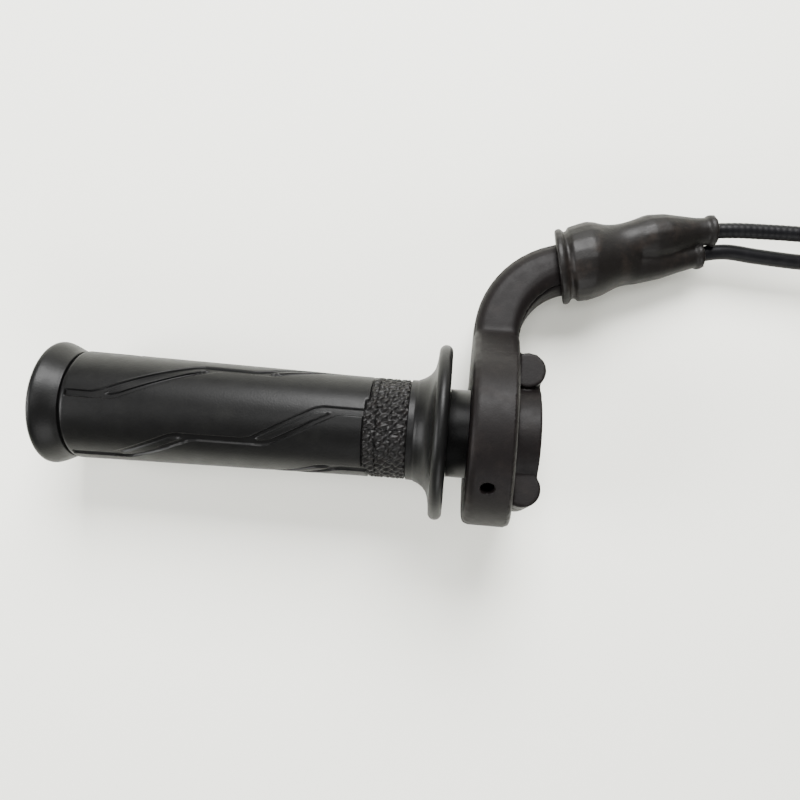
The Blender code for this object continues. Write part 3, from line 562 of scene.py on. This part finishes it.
@dataclass
class Grip:
    """The rubber grip: end lip, long panels parted by climbing channels, knurled band and flange."""

    bore: float = 12.9
    end_bore: float = 11.7
    body_start: float = 10.9
    taper_end: float = 98.0
    body_end: float = 103.0
    outer_r: float = 16.7
    inner_r: float = 15.25
    floor_r: float = 14.55  # under the knurled band
    channel_start: float = 11.3
    channel_wide: float = 2.35
    branch_wide: float = 1.55
    channel_deep: float = 0.62
    wall: float = 0.36
    first_angle: float = 16.9  # of the channel's upper edge, in degrees from the top
    sectors: int = 5
    branch_lag: float = 6.0  # how far the lower edge lags behind the upper one along the grip
    # Where each climb starts and ends, and how many degrees it is: of most channels, and of the longer one
    climbs: tuple = ((23.0, 43.6, 34.5), (65.5, 86.5, 41.5))
    long_climbs: tuple = ((20.3, 48.5, 47.0), (65.5, 86.5, 29.0))
    climb_soften: float = 1.2  # half the length over which a climb starts or ends
    border: float = 99.1  # where a panel ends
    stepped_border: tuple[float, float] = (99.6, 100.6)  # and where, with a step: near its edge, and on
    stepped_panels: tuple[int, ...] = (0, 2, 3)
    border_shift_deg: float = 3.0
    step_deg: float = 11.5  # how far the step is from the panel's edge
    fine_zone_deg: tuple[float, float] = (-22.0, 2.0)  # round each channel's edge, where the grid is finer
    fine_columns: int = 30
    plain_columns: int = 18  # in the rest of each sector
    knurl_start: float = 98.2
    knurl_end: float = 112.0
    knurl_pitch: float = 1.35
    knurl_high: float = 0.6
    sleeve_r: tuple[float, float] = (14.0, 14.6)  # of the band under the scales, inside and outside

    def climb(self, x: np.ndarray, angle: np.ndarray) -> np.ndarray:
        """The angle in radians that the nearest channel has climbed at x, and a mean between channels."""
        own = self.climbed(x, self.climbs)
        return own + self.nearness(angle) * (self.climbed(x, self.long_climbs) - own)

    def nearness(self, angle: np.ndarray) -> np.ndarray:
        """1 round the longer channel, which is the first, and down to 0 before its neighbours."""
        away = (np.degrees(angle) - self.first_angle + 180.0) % 360.0 - 180.0
        return np.interp(away, (-69.0, -23.0, 3.0, 49.0), (0.0, 1.0, 1.0, 0.0))

    def climbed(self, x: np.ndarray, climbs: tuple) -> np.ndarray:
        """Adds up climbs.

        Args:
            x: millimetres along the grip.
            climbs: the start, end and degrees of each climb.

        Returns:
            The angle in radians that they reach at x.
        """
        total = np.zeros_like(x)
        soft = self.climb_soften
        for start, end, degrees in climbs:
            corners = (start - soft, start + soft, end - soft, end + soft)
            total += math.radians(degrees) * np.interp(x, corners, (0, 0.05, 0.95, 1))
        return total

    def base_radius(self, x: np.ndarray) -> np.ndarray:
        """The panels' radius."""
        return np.interp(x, (self.body_start, self.taper_end), (self.outer_r, self.inner_r))

    def below_edge(self, x: np.ndarray, angle: np.ndarray) -> np.ndarray:
        """Millimetres round the grip, downwards from the nearest channel's upper edge."""
        pitch = 2 * math.pi / self.sectors
        raw = math.radians(self.first_angle) - angle
        local = (raw + pitch / 6) % pitch - pitch / 6
        return local * self.base_radius(x)

    def channel_depth(self, x: np.ndarray, angle: np.ndarray) -> np.ndarray:
        """How deep the channels cut. Each parts round an island as it climbs.

        Args:
            x: millimetres along the grip.
            angle: radians from its upper side, before the grid's skew.

        Returns:
            Depths in millimetres.
        """
        down = self.below_edge(x, angle)
        lag = (self.climb(x, angle) - self.climb(x - self.branch_lag, angle)) * self.base_radius(x)
        bottom = self.channel_wide + lag
        cut = soft_step(down, self.wall) * soft_step(bottom - down, self.wall)
        island = soft_step(down - self.branch_wide, self.wall)
        island *= soft_step(bottom - self.branch_wide - down, self.wall)
        island *= soft_step(bottom - 2 * self.branch_wide - 0.5, 0.9)
        inside = soft_step(x - self.channel_start, 0.4)
        return self.channel_deep * inside * cut * (1 - island)

    def panel_end(self, angle: np.ndarray) -> np.ndarray:
        """Where the panels end and the knurled band begins. Some of the panels have a stepped end.

        Args:
            angle: radians from the grip's upper side.

        Returns:
            Millimetres along the grip.
        """
        pitch = 2 * math.pi / self.sectors
        start = math.radians(self.first_angle + self.border_shift_deg)
        turn = (angle - start) % (2 * math.pi)
        sector = np.floor(turn / pitch).astype(int)
        within = turn - sector * pitch
        stepped = np.isin(sector, self.stepped_panels)
        near = within < math.radians(self.step_deg)
        return np.where(stepped, np.where(near, *self.stepped_border), self.border)

    def columns(self) -> np.ndarray:
        """The grid's angles, closer together round the channels' edges.

        Returns:
            Radians from the grip's upper side, the last a full turn past the first.
        """
        pitch = 2 * math.pi / self.sectors
        behind, ahead = (math.radians(degrees) for degrees in self.fine_zone_deg)
        zone = np.linspace(behind, ahead, self.fine_columns + 1)[:-1]
        plain = np.linspace(ahead, pitch + behind, self.plain_columns + 1)[:-1]
        one = np.concatenate([zone, plain]) + math.radians(self.first_angle)
        every = np.concatenate([one + pitch * k for k in range(self.sectors)])
        return np.append(every, every[0] + 2 * math.pi)

    def profile(self) -> np.ndarray:
        """The outline of half its section.

        Returns:
            (x, radius) points of a closed line, in millimetres.
        """
        lip = [(0, 14.2), (0.15, 15.8), (0.6, 17.4), (1.4, 18.7), (2.4, 19.05), (3.4, 18.85)]
        lip += [(4.8, 18.3), (6.3, 17.6), (7.8, 16.95), (9.3, 16.5)]
        groove = [(9.3, 16.5), (9.55, 15.6), (10.2, 15.6), (10.45, 16.6), (self.body_start, self.outer_r)]
        body = [(self.body_start, self.outer_r), (self.taper_end, self.inner_r)]
        body += [(self.body_end, self.inner_r)]
        band = [(self.body_end, self.floor_r), (self.knurl_end, self.floor_r), (self.knurl_end + 0.3, 15.25)]
        band += [(114.2, 15.3), (114.45, 15.5)]
        flare = [(114.45, 15.5), (116.0, 16.15), (117.7, 17.4)]
        flare += [(118.9, 19.3), (119.5, 22.0), (119.75, 24.5)]
        rim = [
            (121.8 - 2.05 * math.cos(math.radians(a)), 24.6 + 2.0 * math.sin(math.radians(a)))
            for a in range(0, 181, 15)
        ]
        back = [(123.85, 24.6), (123.7, 16.0), (123.2, self.bore), (1.6, self.bore), (1.6, self.end_bore)]
        back += [(0, self.end_bore), (0, 14.2)]
        return joined(
            smooth_line(lip, 0.45),
            dense(groove, 0.25),
            dense(body, 0.38),
            dense(band, 0.5),
            smooth_line(flare, 0.5),
            dense(rim, 0.7),
            dense(back, 14.0),
        )

    def body_relief(self, x: np.ndarray, angle: np.ndarray) -> np.ndarray:
        """The channels, and the step down to the knurled band."""
        on_body = (x > self.body_start + 0.1) & (x < self.body_end - 0.1)
        turned_to = angle + self.climb_on_body(x, angle)
        drop = (self.inner_r - self.floor_r) * soft_step(x - self.panel_end(turned_to), 0.3)
        cut = np.maximum(self.channel_depth(x, angle), drop)
        return np.where(on_body, -cut, 0.0)

    def knurl_relief(self, x: np.ndarray, angle: np.ndarray) -> np.ndarray:
        """Raised scales in slanting rows, each a little different, and flat under the panels' ends.

        Args:
            x: millimetres along the grip.
            angle: radians from its upper side.

        Returns:
            Heights in millimetres.
        """
        round_mm = angle * self.inner_r
        rows = round(2 * math.pi * self.inner_r / self.knurl_pitch)
        step = 2 * math.pi * self.inner_r / rows
        a = (round_mm + 0.62 * x) / step
        b = (round_mm - 1.15 * x) / step
        wobble = 0.2 * np.sin(1.3 * a + 1.7 * np.sin(b * 0.9)) + 0.16 * np.sin(1.9 * b)
        scale = np.abs(np.sin(math.pi * (a + wobble) / 2) * np.sin(math.pi * (b - wobble) / 2))
        height = self.knurl_high * scale**0.8
        past_panels = soft_step(x - self.panel_end(angle) - 0.25, 0.4)
        return height * past_panels * soft_step(self.knurl_end - x, 0.5)

    def build(self) -> list[bpy.types.Object]:
        """Makes the grip and its knurled band."""
        axis = bar_axis()
        body = turned(axis, self.profile(), self.columns(), self.body_relief, self.climb_on_body)
        finish_piece(body, "grip_rubber_body", GRIP_RUBBER, Body.THROTTLE, ["grip_rubber"])
        start, end = self.knurl_start, self.knurl_end
        inside, outside = self.sleeve_r
        sleeve = [(start, inside), (start, outside), (end, outside), (end, inside), (start, inside)]
        shape = joined(dense(sleeve[:2], 0.3), dense(sleeve[1:3], 0.25), dense(sleeve[2:], 3.0))
        band = turned(axis, shape, even_angles(400), self.band_relief)
        finish_piece(band, "grip_knurled_band", KNURL_RUBBER, Body.THROTTLE)
        return [body, band]

    def climb_on_body(self, x: np.ndarray, angle: np.ndarray) -> np.ndarray:
        """The grid's skew, which follows the channels."""
        return self.climb(np.clip(x, self.body_start, self.body_end), angle)

    def band_relief(self, x: np.ndarray, angle: np.ndarray) -> np.ndarray:
        """The knurl, on the sleeve's outer side only."""
        outer = (x > self.knurl_start + 0.05) & (x < self.knurl_end - 0.05)
        return np.where(outer, self.knurl_relief(x, angle), 0.0)


# ---- Housing, tube, boot and small fittings ----


@dataclass
class Housing:
    """The split clamp housing with its screws and inserts."""

    voxel: float = 0.42
    smoothing: int = 4
    roll_deg: float = 11.9918  # about the bar, from level to the elbow
    neck: float = 32.5  # from the bar's axis to where the elbow grows out of the case
    neck_blend: float = 3.4
    neck_smoothing: int = 60
    screw_edge: float = 0.2
    insert_edge: float = 0.15
    # The case's and the clamp's round faces: from, to, least radius and true radius
    rounds: tuple = ((131.8, 142.4, 26.6, 27.0), (146.0, 150.0, 15.88, 16.0))

    def true_rounds(self, shell: bpy.types.Object) -> None:
        """Puts the case's and the clamp's facets on their true cylinders.

        Args:
            shell: one half of the housing.
        """
        axis = bar_axis()
        points = np.empty(len(shell.data.vertices) * 3)
        shell.data.vertices.foreach_get("co", points)
        points = points.reshape(-1, 3)
        from_start = (points - np.array(axis.start)) / MM
        x = from_start @ np.array(axis.along)
        across = from_start - np.outer(x, np.array(axis.along))
        radius = np.linalg.norm(across, axis=1)
        for start, end, least, true in self.rounds:
            near = (x > start) & (x < end) & (radius > least) & (radius < true + 0.1)
            points[near] += across[near] * ((true / radius[near] - 1.0) * MM)[:, None]
        shell.data.vertices.foreach_set("co", points.ravel())
        shell.data.update()

    def blend_neck(self, shell: bpy.types.Object) -> None:
        """Smooths the step where the elbow grows out of the case.

        Args:
            shell: one half of the housing.
        """
        axis = bar_axis()
        side = axis.up.cross(axis.along)
        roll = math.radians(self.roll_deg)
        up_the_elbow = side * math.cos(roll) - axis.up * math.sin(roll)
        group = shell.vertex_groups.new(name="neck")
        for vertex in shell.data.vertices:
            away = abs((vertex.co - axis.start).dot(up_the_elbow) / MM - self.neck)
            if away < self.neck_blend:
                group.add([vertex.index], 1.0 - (away / self.neck_blend) ** 2, "REPLACE")
        apply_modifier(shell, "SMOOTH", factor=0.5, iterations=self.neck_smoothing, vertex_group="neck")
        shell.vertex_groups.clear()

    def build(self) -> list[bpy.types.Object]:
        """Makes both halves and their fasteners.

        Returns:
            The pieces.
        """
        made = []
        for half in ("housing_upper", "housing_lower"):
            shell = remoulded(half, self.voxel, self.smoothing)
            self.true_rounds(shell)
            self.blend_neck(shell)
            made.append(finish_piece(shell, half + "_shell", HOUSING_NYLON, Body.HOUSING, [half]))
        for side in ("front", "rear"):
            for node, edge, look in (
                ("clamp_screw_" + side, self.screw_edge, SCREW_STEEL),
                ("threaded_insert_" + side, self.insert_edge, TURNED_BRASS),
            ):
                made.append(finish_piece(refined(node, edge), node + "_turned", look, Body.HOUSING, [node]))
        return made


@dataclass
class Tube:
    """The throttle tube with its drum, the drum's nipples, the wires on it and their ferrules."""

    edge: float = 0.25
    nipple_edge: float = 0.3
    ferrule_edge: float = 0.2

    def build(self) -> list[bpy.types.Object]:
        """Makes the tube and what runs on it.

        Returns:
            The pieces.
        """
        tube = refined("throttle_tube", self.edge)
        made = [finish_piece(tube, "throttle_tube_moulded", TUBE_ACETAL, Body.THROTTLE, ["throttle_tube"])]
        for side in ("pull", "return"):
            node = side + "_drum_nipple"
            nipple = refined(node, self.nipple_edge)
            made.append(finish_piece(nipple, node + "_turned", TURNED_BRASS, Body.THROTTLE, [node]))
            node = side + "_ferrule"
            ferrule = refined(node, self.ferrule_edge)
            made.append(finish_piece(ferrule, node + "_turned", PLATED_STEEL, Body.HOUSING, [node]))
            node = side + "_wire"
            made.append(finish_piece(copied_node(node), node + "_rope", WIRE_STEEL, Body.HOUSING, [node]))
        return made


@dataclass
class Boot:
    """The rubber boot over the elbow's mouth and both cables."""

    voxel: float = 0.45
    smoothing: int = 10
    bulge_smoothing: int = 300
    bulge: tuple = (64.0, 66.5, 74.0, 79.0)  # along X: the bulge, between the collar and where the legs part

    def build(self) -> bpy.types.Object:
        """Makes the boot, softest at its bulge.

        Returns:
            The boot.
        """
        boot = remoulded("cable_boot", self.voxel, self.smoothing)
        group = boot.vertex_groups.new(name="bulge")
        for vertex in boot.data.vertices:
            weight = float(np.interp(vertex.co.x / MM, self.bulge, (0.0, 1.0, 1.0, 0.0)))
            if weight > 0:
                group.add([vertex.index], weight, "REPLACE")
        apply_modifier(boot, "SMOOTH", factor=0.5, iterations=self.bulge_smoothing, vertex_group="bulge")
        boot.vertex_groups.clear()
        return finish_piece(boot, "cable_boot_moulded", BOOT_RUBBER, Body.HOUSING, ["cable_boot"])


# ---- Cables ----

COIL_X = 182.38  # the coils' middle
COIL_Y = 5.68
COIL_STEP_DEG = 15  # between the points of a coil


@dataclass
class Cable:
    """One throttle cable, from its ferrule through the boot and its coil to its adjuster and nipple."""

    side: str
    route: tuple  # world metres, from the ferrule to the coil
    tail: tuple  # world metres, from the coil to the adjuster
    layers: tuple[float, float]  # heights of the coil's upper and lower turns
    leave: float  # degrees past the last full turn at which it leaves the coil
    wire: tuple[float, float]  # the wire end's start and end, from the adjuster's mouth, in millimetres
    ribbed: bool
    body: Body
    diameter: float = 5.0
    spiral_pitch: float = 1.9
    spiral_deep: float = 0.07
    coil_outer: float = 32.1
    coil_inner: float = 26.9
    coil_reach: float = 37.5  # radius at which it comes in and goes out
    coil_entry_deg: float = 50.0
    coil_exit_deg: float = 6.0
    crossing_deg: float = 34.0  # turned before and after each change of place in the coil
    # What the middle of each change adds to its radius and its height
    crossing_bulges: tuple = ((0.0, 0.6), (-1.4, 0.0), (0.0, 0.0))
    cup_depth: float = 8.3
    thread_r: float = 3.0
    thread_from: float = 10.6
    thread_to: float = 45.6
    thread_cut: float = 0.62  # depth of its thread for each millimetre of pitch
    bore_r: float = 1.3
    nut_starts: tuple = (17.0, 24.0)
    nut_long: float = 4.0
    nut_flat: float = 5.0  # from its axis to a flat
    nut_corner: float = 5.75
    nut_bore_r: float = 3.05
    wire_r: float = 0.75
    strand_deep: float = 0.13
    strand_lay: float = 9.0

    def coil_stations(self) -> np.ndarray:
        """Where the cable lies in its coil of four turns, in two columns and two layers.

        Returns:
            Rows of degrees turned, radius and height, from the way in to the way out beside the coil.
        """
        high, low = self.layers
        outer, inner = self.coil_outer, self.coil_inner
        slots = ((outer, high), (inner, high), (inner, low), (outer, low))
        stations = [(0.0, self.coil_reach, high), (self.coil_entry_deg, *slots[0])]
        for turn, (before, after) in enumerate(zip(slots, slots[1:]), start=1):
            change = 360.0 * turn
            added = self.crossing_bulges[turn - 1]
            middle = [(a + b) / 2 + more for a, b, more in zip(before, after, added)]
            stations += [(change - self.crossing_deg, *before), (change, *middle)]
            stations += [(change + self.crossing_deg, *after)]
        last = 360.0 * len(slots)
        stations += [(last - self.coil_exit_deg, *slots[-1])]
        stations += [(last + self.leave, self.coil_reach, self.tail[0][2] / MM)]
        return np.array(stations)

    def coil_points(self) -> list[tuple[float, float, float]]:
        """Points of the coil, evenly spaced round it.

        Returns:
            World points in metres.
        """
        turned_by, radii, heights = self.coil_stations().T
        points = []
        for step in range(1, int(turned_by[-1] // COIL_STEP_DEG)):
            here = float(step * COIL_STEP_DEG)
            radius = float(np.interp(here, turned_by, radii))
            height = float(np.interp(here, turned_by, heights))
            polar = math.radians(90.0 - here)
            x = COIL_X + radius * math.cos(polar)
            y = COIL_Y + radius * math.sin(polar)
            points.append((x * MM, y * MM, height * MM))
        return points

    def line(self, spacing_mm: float) -> np.ndarray:
        """The whole centre line."""
        return smooth_line([*self.route, *self.coil_points(), *self.tail], spacing_mm * MM)

    def radius_at(self, distance: np.ndarray, angle: np.ndarray) -> np.ndarray:
        """A round sheath, on which one of the cables shows the turns of its steel spiral.

        Args:
            distance: metres along the cable.
            angle: radians round it.

        Returns:
            Radii in metres.
        """
        plain = self.diameter / 2 * MM
        if not self.ribbed:
            return np.full_like(distance, plain)
        wave = np.cos(2 * math.pi * distance / (self.spiral_pitch * MM) - angle)
        return plain - self.spiral_deep * MM * (0.5 - 0.5 * wave) ** 2

    def fittings_axis(self) -> Axis:
        """The adjuster's axis, from its mouth."""
        end = Vector(self.tail[-1])
        return Axis(end + Vector((0, (self.cup_depth - 0.3) * MM, 0)), Vector((0, -1, 0)), Vector((0, 0, 1)))

    def adjuster(self) -> bpy.types.Object:
        """The cup that takes the sheath, with a ring groove, and the threaded barrel beyond it.

        Returns:
            The new piece.
        """
        start, end, rise, bore = self.thread_from, self.thread_to, self.thread_r, self.bore_r
        outer = [(0, 2.8), (0, 3.6), (0.4, 4.0), (2.2, 4.0), (2.5, 3.75)]
        outer += [(3.1, 3.75), (3.4, 4.0), (9.6, 4.0), (start, rise)]
        inner = [(end, rise), (end + 0.4, rise - 0.3), (end + 0.4, bore)]
        inner += [(self.cup_depth, bore), (self.cup_depth, 2.8), (0, 2.8)]
        shape = joined(dense(outer, 0.6), dense([(start, rise), (end, rise)], 0.14), np.array(inner))

        def ridges(x: np.ndarray, angle: np.ndarray) -> np.ndarray:
            """The thread's cut, which runs out at both ends."""
            phase = (x - angle / (2 * math.pi)) % 1.0
            cut = self.thread_cut * np.abs(phase - 0.5)
            ends = soft_step(x - start - 0.4, 1.0) * soft_step(end - 0.2 - x, 0.8)
            on_thread = (x > start + 0.2) & (x < end - 0.1)
            return np.where(on_thread, -cut * ends, 0.0)

        return turned(self.fittings_axis(), shape, even_angles(36), ridges)

    def nut(self, start: float) -> bpy.types.Object:
        """A chamfered hexagon nut.

        Args:
            start: millimetres from the adjuster's mouth to the nut.

        Returns:
            The new piece.
        """
        end, bore, flat = start + self.nut_long, self.nut_bore_r, self.nut_flat
        shape = dense([(start, bore), (start, flat), (end, flat), (end, bore), (start, bore)], 0.5)

        def relief(x: np.ndarray, angle: np.ndarray) -> np.ndarray:
            """The hexagon's corners, cut back by a cone at each end."""
            within = (angle + math.pi / 6) % (math.pi / 3) - math.pi / 6
            cone = self.nut_corner - 0.75 + np.minimum(x - start, end - x) * 1.4
            edge = np.minimum(flat / np.cos(within), cone) - flat
            on_end = (x < start + 1e-4) | (x > end - 1e-4)
            return np.where(on_end, 0.0, edge)

        return turned(self.fittings_axis(), shape, even_angles(72), relief)

    def wire_end(self) -> bpy.types.Object:
        """The bare end of the inner wire, with its strands laid in a helix.

        Returns:
            The new piece.
        """
        start, end = self.wire
        axis = self.fittings_axis()
        line = np.array([axis.start + axis.along * d * MM for d in np.arange(start, end + 0.1, 0.25)])

        def strands(distance: np.ndarray, angle: np.ndarray) -> np.ndarray:
            """The radius in metres, with six strands round it."""
            twist = angle - distance / (self.strand_lay * MM) * 2 * math.pi
            return (self.wire_r - self.strand_deep * (1 - np.abs(np.sin(3 * twist)))) * MM

        return swept_tube(line, strands, 24)

    def nipple(self) -> bpy.types.Object:
        """The barrel nipple soldered on the wire's end, across it.

        Returns:
            The new piece.
        """
        axis = self.fittings_axis()
        centre = axis.start + axis.along * (self.wire[1] + 3.3) * MM
        across = Axis(centre, Vector((1, 0, 0)), Vector((0, 0, 1)))
        outline = [(-3.5, 0.001), (-3.5, 2.2), (-3.3, 2.6), (-2.9, 3.0), (-0.7, 3.0), (-0.5, 2.85)]
        outline += [(0.5, 2.85), (0.7, 3.0), (2.9, 3.0), (3.3, 2.6), (3.5, 2.2), (3.5, 0.001)]
        shape = joined(dense(outline, 0.4), np.array(outline[:1]))
        return turned(across, shape, even_angles(40))

    def build(self) -> list[bpy.types.Object]:
        """Returns:
            The pieces, the cable first.
        """
        name = self.side
        line = self.line(0.42 if self.ribbed else 1.0)
        sheath = swept_tube(line, self.radius_at, 20)
        nodes = [name + "_cable_sheath", name + "_cable_coil", name + "_cable_tail"]
        finish_piece(sheath, name + "_cable", SHEATH_POLYETHYLENE, Body.HOUSING, nodes)
        barrel = finish_piece(
            self.adjuster(), name + "_adjuster_threaded", PLATED_STEEL, Body.HOUSING, [name + "_adjuster"]
        )
        on_it = [barrel]
        for number, start in enumerate(self.nut_starts, start=1):
            node = f"{name}_lock_nut_{number}"
            on_it.append(finish_piece(self.nut(start), node + "_hexagon", PLATED_STEEL, Body.HOUSING, [node]))
        node = name + "_wire_end"
        on_it.append(finish_piece(self.wire_end(), node + "_rope", WIRE_STEEL, self.body, [node]))
        node = name + "_end_nipple"
        on_it.append(finish_piece(self.nipple(), node + "_turned", TURNED_BRASS, self.body, [node]))
        path = self.line(3.0)
        return [sheath, *on_it]


PULL_CABLE = Cable(
    side="pull",
    route=(
        (0.0640, 0.0301, 0.0126), (0.0666, 0.0309, 0.0126), (0.0791, 0.0337, 0.0112),
        (0.0858, 0.0354, 0.0105), (0.0926, 0.0373, 0.0100), (0.0980, 0.0388, 0.0097),
        (0.1081, 0.0408, 0.0095), (0.1191, 0.0401, 0.0094), (0.1331, 0.0394, 0.0093),
        (0.1491, 0.0396, 0.0092), (0.1651, 0.0416, 0.0092), (0.1824, 0.0432, 0.0092),
    ),
    tail=((0.2199, 0.0057, 0.0065), (0.2199, -0.0038, 0.0065), (0.2199, -0.0138, 0.0065)),
    layers=(9.2, 4.0),
    leave=90.0,
    wire=(42.0, 78.0),
    ribbed=False,
    body=Body.PULL_END,
)
RETURN_CABLE = Cable(
    side="return",
    route=(
        (0.0624, 0.0356, 0.0113), (0.0650, 0.0364, 0.0113), (0.0765, 0.0406, 0.0122),
        (0.0827, 0.0425, 0.0123), (0.0875, 0.0437, 0.0122), (0.0924, 0.0448, 0.0122),
        (0.0974, 0.0458, 0.0122), (0.1007, 0.0464, 0.0122), (0.1101, 0.0472, 0.0128),
        (0.1201, 0.0474, 0.0132), (0.1311, 0.0472, 0.0142), (0.1471, 0.0461, 0.0162),
        (0.1651, 0.0440, 0.0188), (0.1824, 0.0432, 0.0198),
    ),
    tail=(
        (0.2111, 0.0298, 0.0146), (0.2206, 0.0182, 0.0126), (0.2291, 0.0062, 0.0086),
        (0.2339, -0.0058, 0.0066), (0.2351, -0.0168, 0.0065), (0.2351, -0.0248, 0.0065),
    ),
    layers=(19.9, 14.7),
    leave=50.0,
    wire=(16.0, 54.0),
    ribbed=True,
    body=Body.RETURN_END,
)


@dataclass
class CoilTies:
    """Nylon straps round both coils, each with its lock."""

    edge: float = 0.28
    lock: tuple[float, float, float] = (5.2, 3.0, 5.0)  # along the coil, out of it and upwards
    lock_edge: float = 0.45
    lock_r: float = 37.2  # from the coils' middle
    lock_z: float = 17.5

    def strap(self, node: str) -> bpy.types.Object:
        """One strap with its edges rounded, and its lock.

        Args:
            node: the name of its node.

        Returns:
            The new piece.
        """
        made = refined(node, self.edge)
        low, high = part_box(node)
        middle = (low + high) / 2
        outward = Vector((middle.x - COIL_X * MM, middle.y - COIL_Y * MM, 0)).normalized()
        bpy.ops.object.select_all(action="DESELECT")
        bpy.ops.mesh.primitive_cube_add(size=1.0)
        lock = bpy.context.object
        along = Vector((0, 0, 1)).cross(outward)
        place = Matrix((along, outward, Vector((0, 0, 1)))).transposed().to_4x4()
        centre = Vector((COIL_X, COIL_Y, self.lock_z)) * MM + outward * self.lock_r * MM
        size = Matrix.Diagonal((*(side * MM for side in self.lock), 1.0))
        lock.data.transform(Matrix.Translation(centre) @ place @ size)
        apply_modifier(lock, "BEVEL", width=self.lock_edge * MM, segments=3)
        alone(made)
        lock.select_set(True)
        bpy.ops.object.join()
        bpy.ops.object.shade_smooth_by_angle(angle=SHARP)
        return made

    def build(self) -> list[bpy.types.Object]:
        """Makes the three straps.

        Returns:
            The straps.
        """
        made = []
        for number in (1, 2, 3):
            node = f"coil_tie_{number}"
            made.append(finish_piece(self.strap(node), node + "_strap", TIE_NYLON, Body.HOUSING, [node]))
        return made


# ---- Studio ----


@dataclass(frozen=True)
class SoftLight:
    """A square soft light that points at the middle of the floor."""

    name: str
    place: tuple[float, float, float]
    size: float
    watts: float

    def build(self) -> None:
        """Adds it to the scene."""
        lamp = bpy.data.lights.new(self.name, "AREA")
        lamp.size = self.size
        lamp.energy = self.watts
        made = bpy.data.objects.new(self.name, lamp)
        made.location = self.place
        made.rotation_euler = (-Vector(self.place)).to_track_quat("-Z", "Y").to_euler()
        bpy.context.scene.collection.objects.link(made)


@dataclass
class Studio:
    """A pale floor, soft light and a camera that looks straight down."""

    camera: tuple[float, float, float] = (0.00554, -0.01600, 0.245)
    turn_deg: float = 4.4
    lens: float = 32.175
    lights: tuple[SoftLight, ...] = (
        SoftLight("key", (0.05, 0.82, 0.75), 0.6, 42.0),
        SoftLight("left_side", (-0.95, -0.1, 0.55), 0.5, 16.0),
        SoftLight("near_side", (0.3, -0.9, 0.55), 0.6, 9.0),
        SoftLight("overhead", (-0.16, 0.07, 1.0), 0.3, 2.4),
    )
    floor_wide: float = 6.0
    floor_z: float = -0.0002
    floor_colour: str = "fbfbf1"
    sky_colour: str = "fffff6"
    sky_strength: float = 0.22

    def floor(self) -> None:
        """Adds the table top, a sheet of matt white board."""
        bpy.ops.object.select_all(action="DESELECT")
        bpy.ops.mesh.primitive_plane_add(size=self.floor_wide, location=(0, 0, self.floor_z))
        made = bpy.context.object
        made.name = "floor"
        surface = bpy.data.materials.new("white_board")
        surface.use_nodes = True
        shader = surface.node_tree.nodes["Principled BSDF"]
        shader.inputs["Base Color"].default_value = linear(self.floor_colour)
        shader.inputs["Roughness"].default_value = 0.6
        made.data.materials.append(surface)

    def build(self) -> None:
        """Makes the floor, the lights, the sky and the camera."""
        self.floor()
        for light in self.lights:
            light.build()
        world = bpy.data.worlds.new("studio")
        world.use_nodes = True
        sky = world.node_tree.nodes["Background"]
        sky.inputs["Color"].default_value = linear(self.sky_colour)
        sky.inputs["Strength"].default_value = self.sky_strength
        bpy.context.scene.world = world
        view = bpy.data.cameras.new("camera")
        view.lens = self.lens
        view.sensor_width = 36.0
        view.clip_start = 0.01
        made = bpy.data.objects.new("camera", view)
        turn = Matrix.Rotation(math.radians(self.turn_deg), 4, "Z")
        made.matrix_world = Matrix.Translation(self.camera) @ turn
        bpy.context.scene.collection.objects.link(made)
        bpy.context.scene.camera = made


def main() -> None:
    """Builds the throttle, piece by piece, and its studio."""
    logging.basicConfig(level=logging.INFO, format="%(message)s")
    Studio().build()
    for cable in (PULL_CABLE, RETURN_CABLE):
        cable.build()
    CoilTies().build()
    Grip().build()
    Housing().build()
    Tube().build()
    Boot().build()


if __name__ == "__main__":
    main()
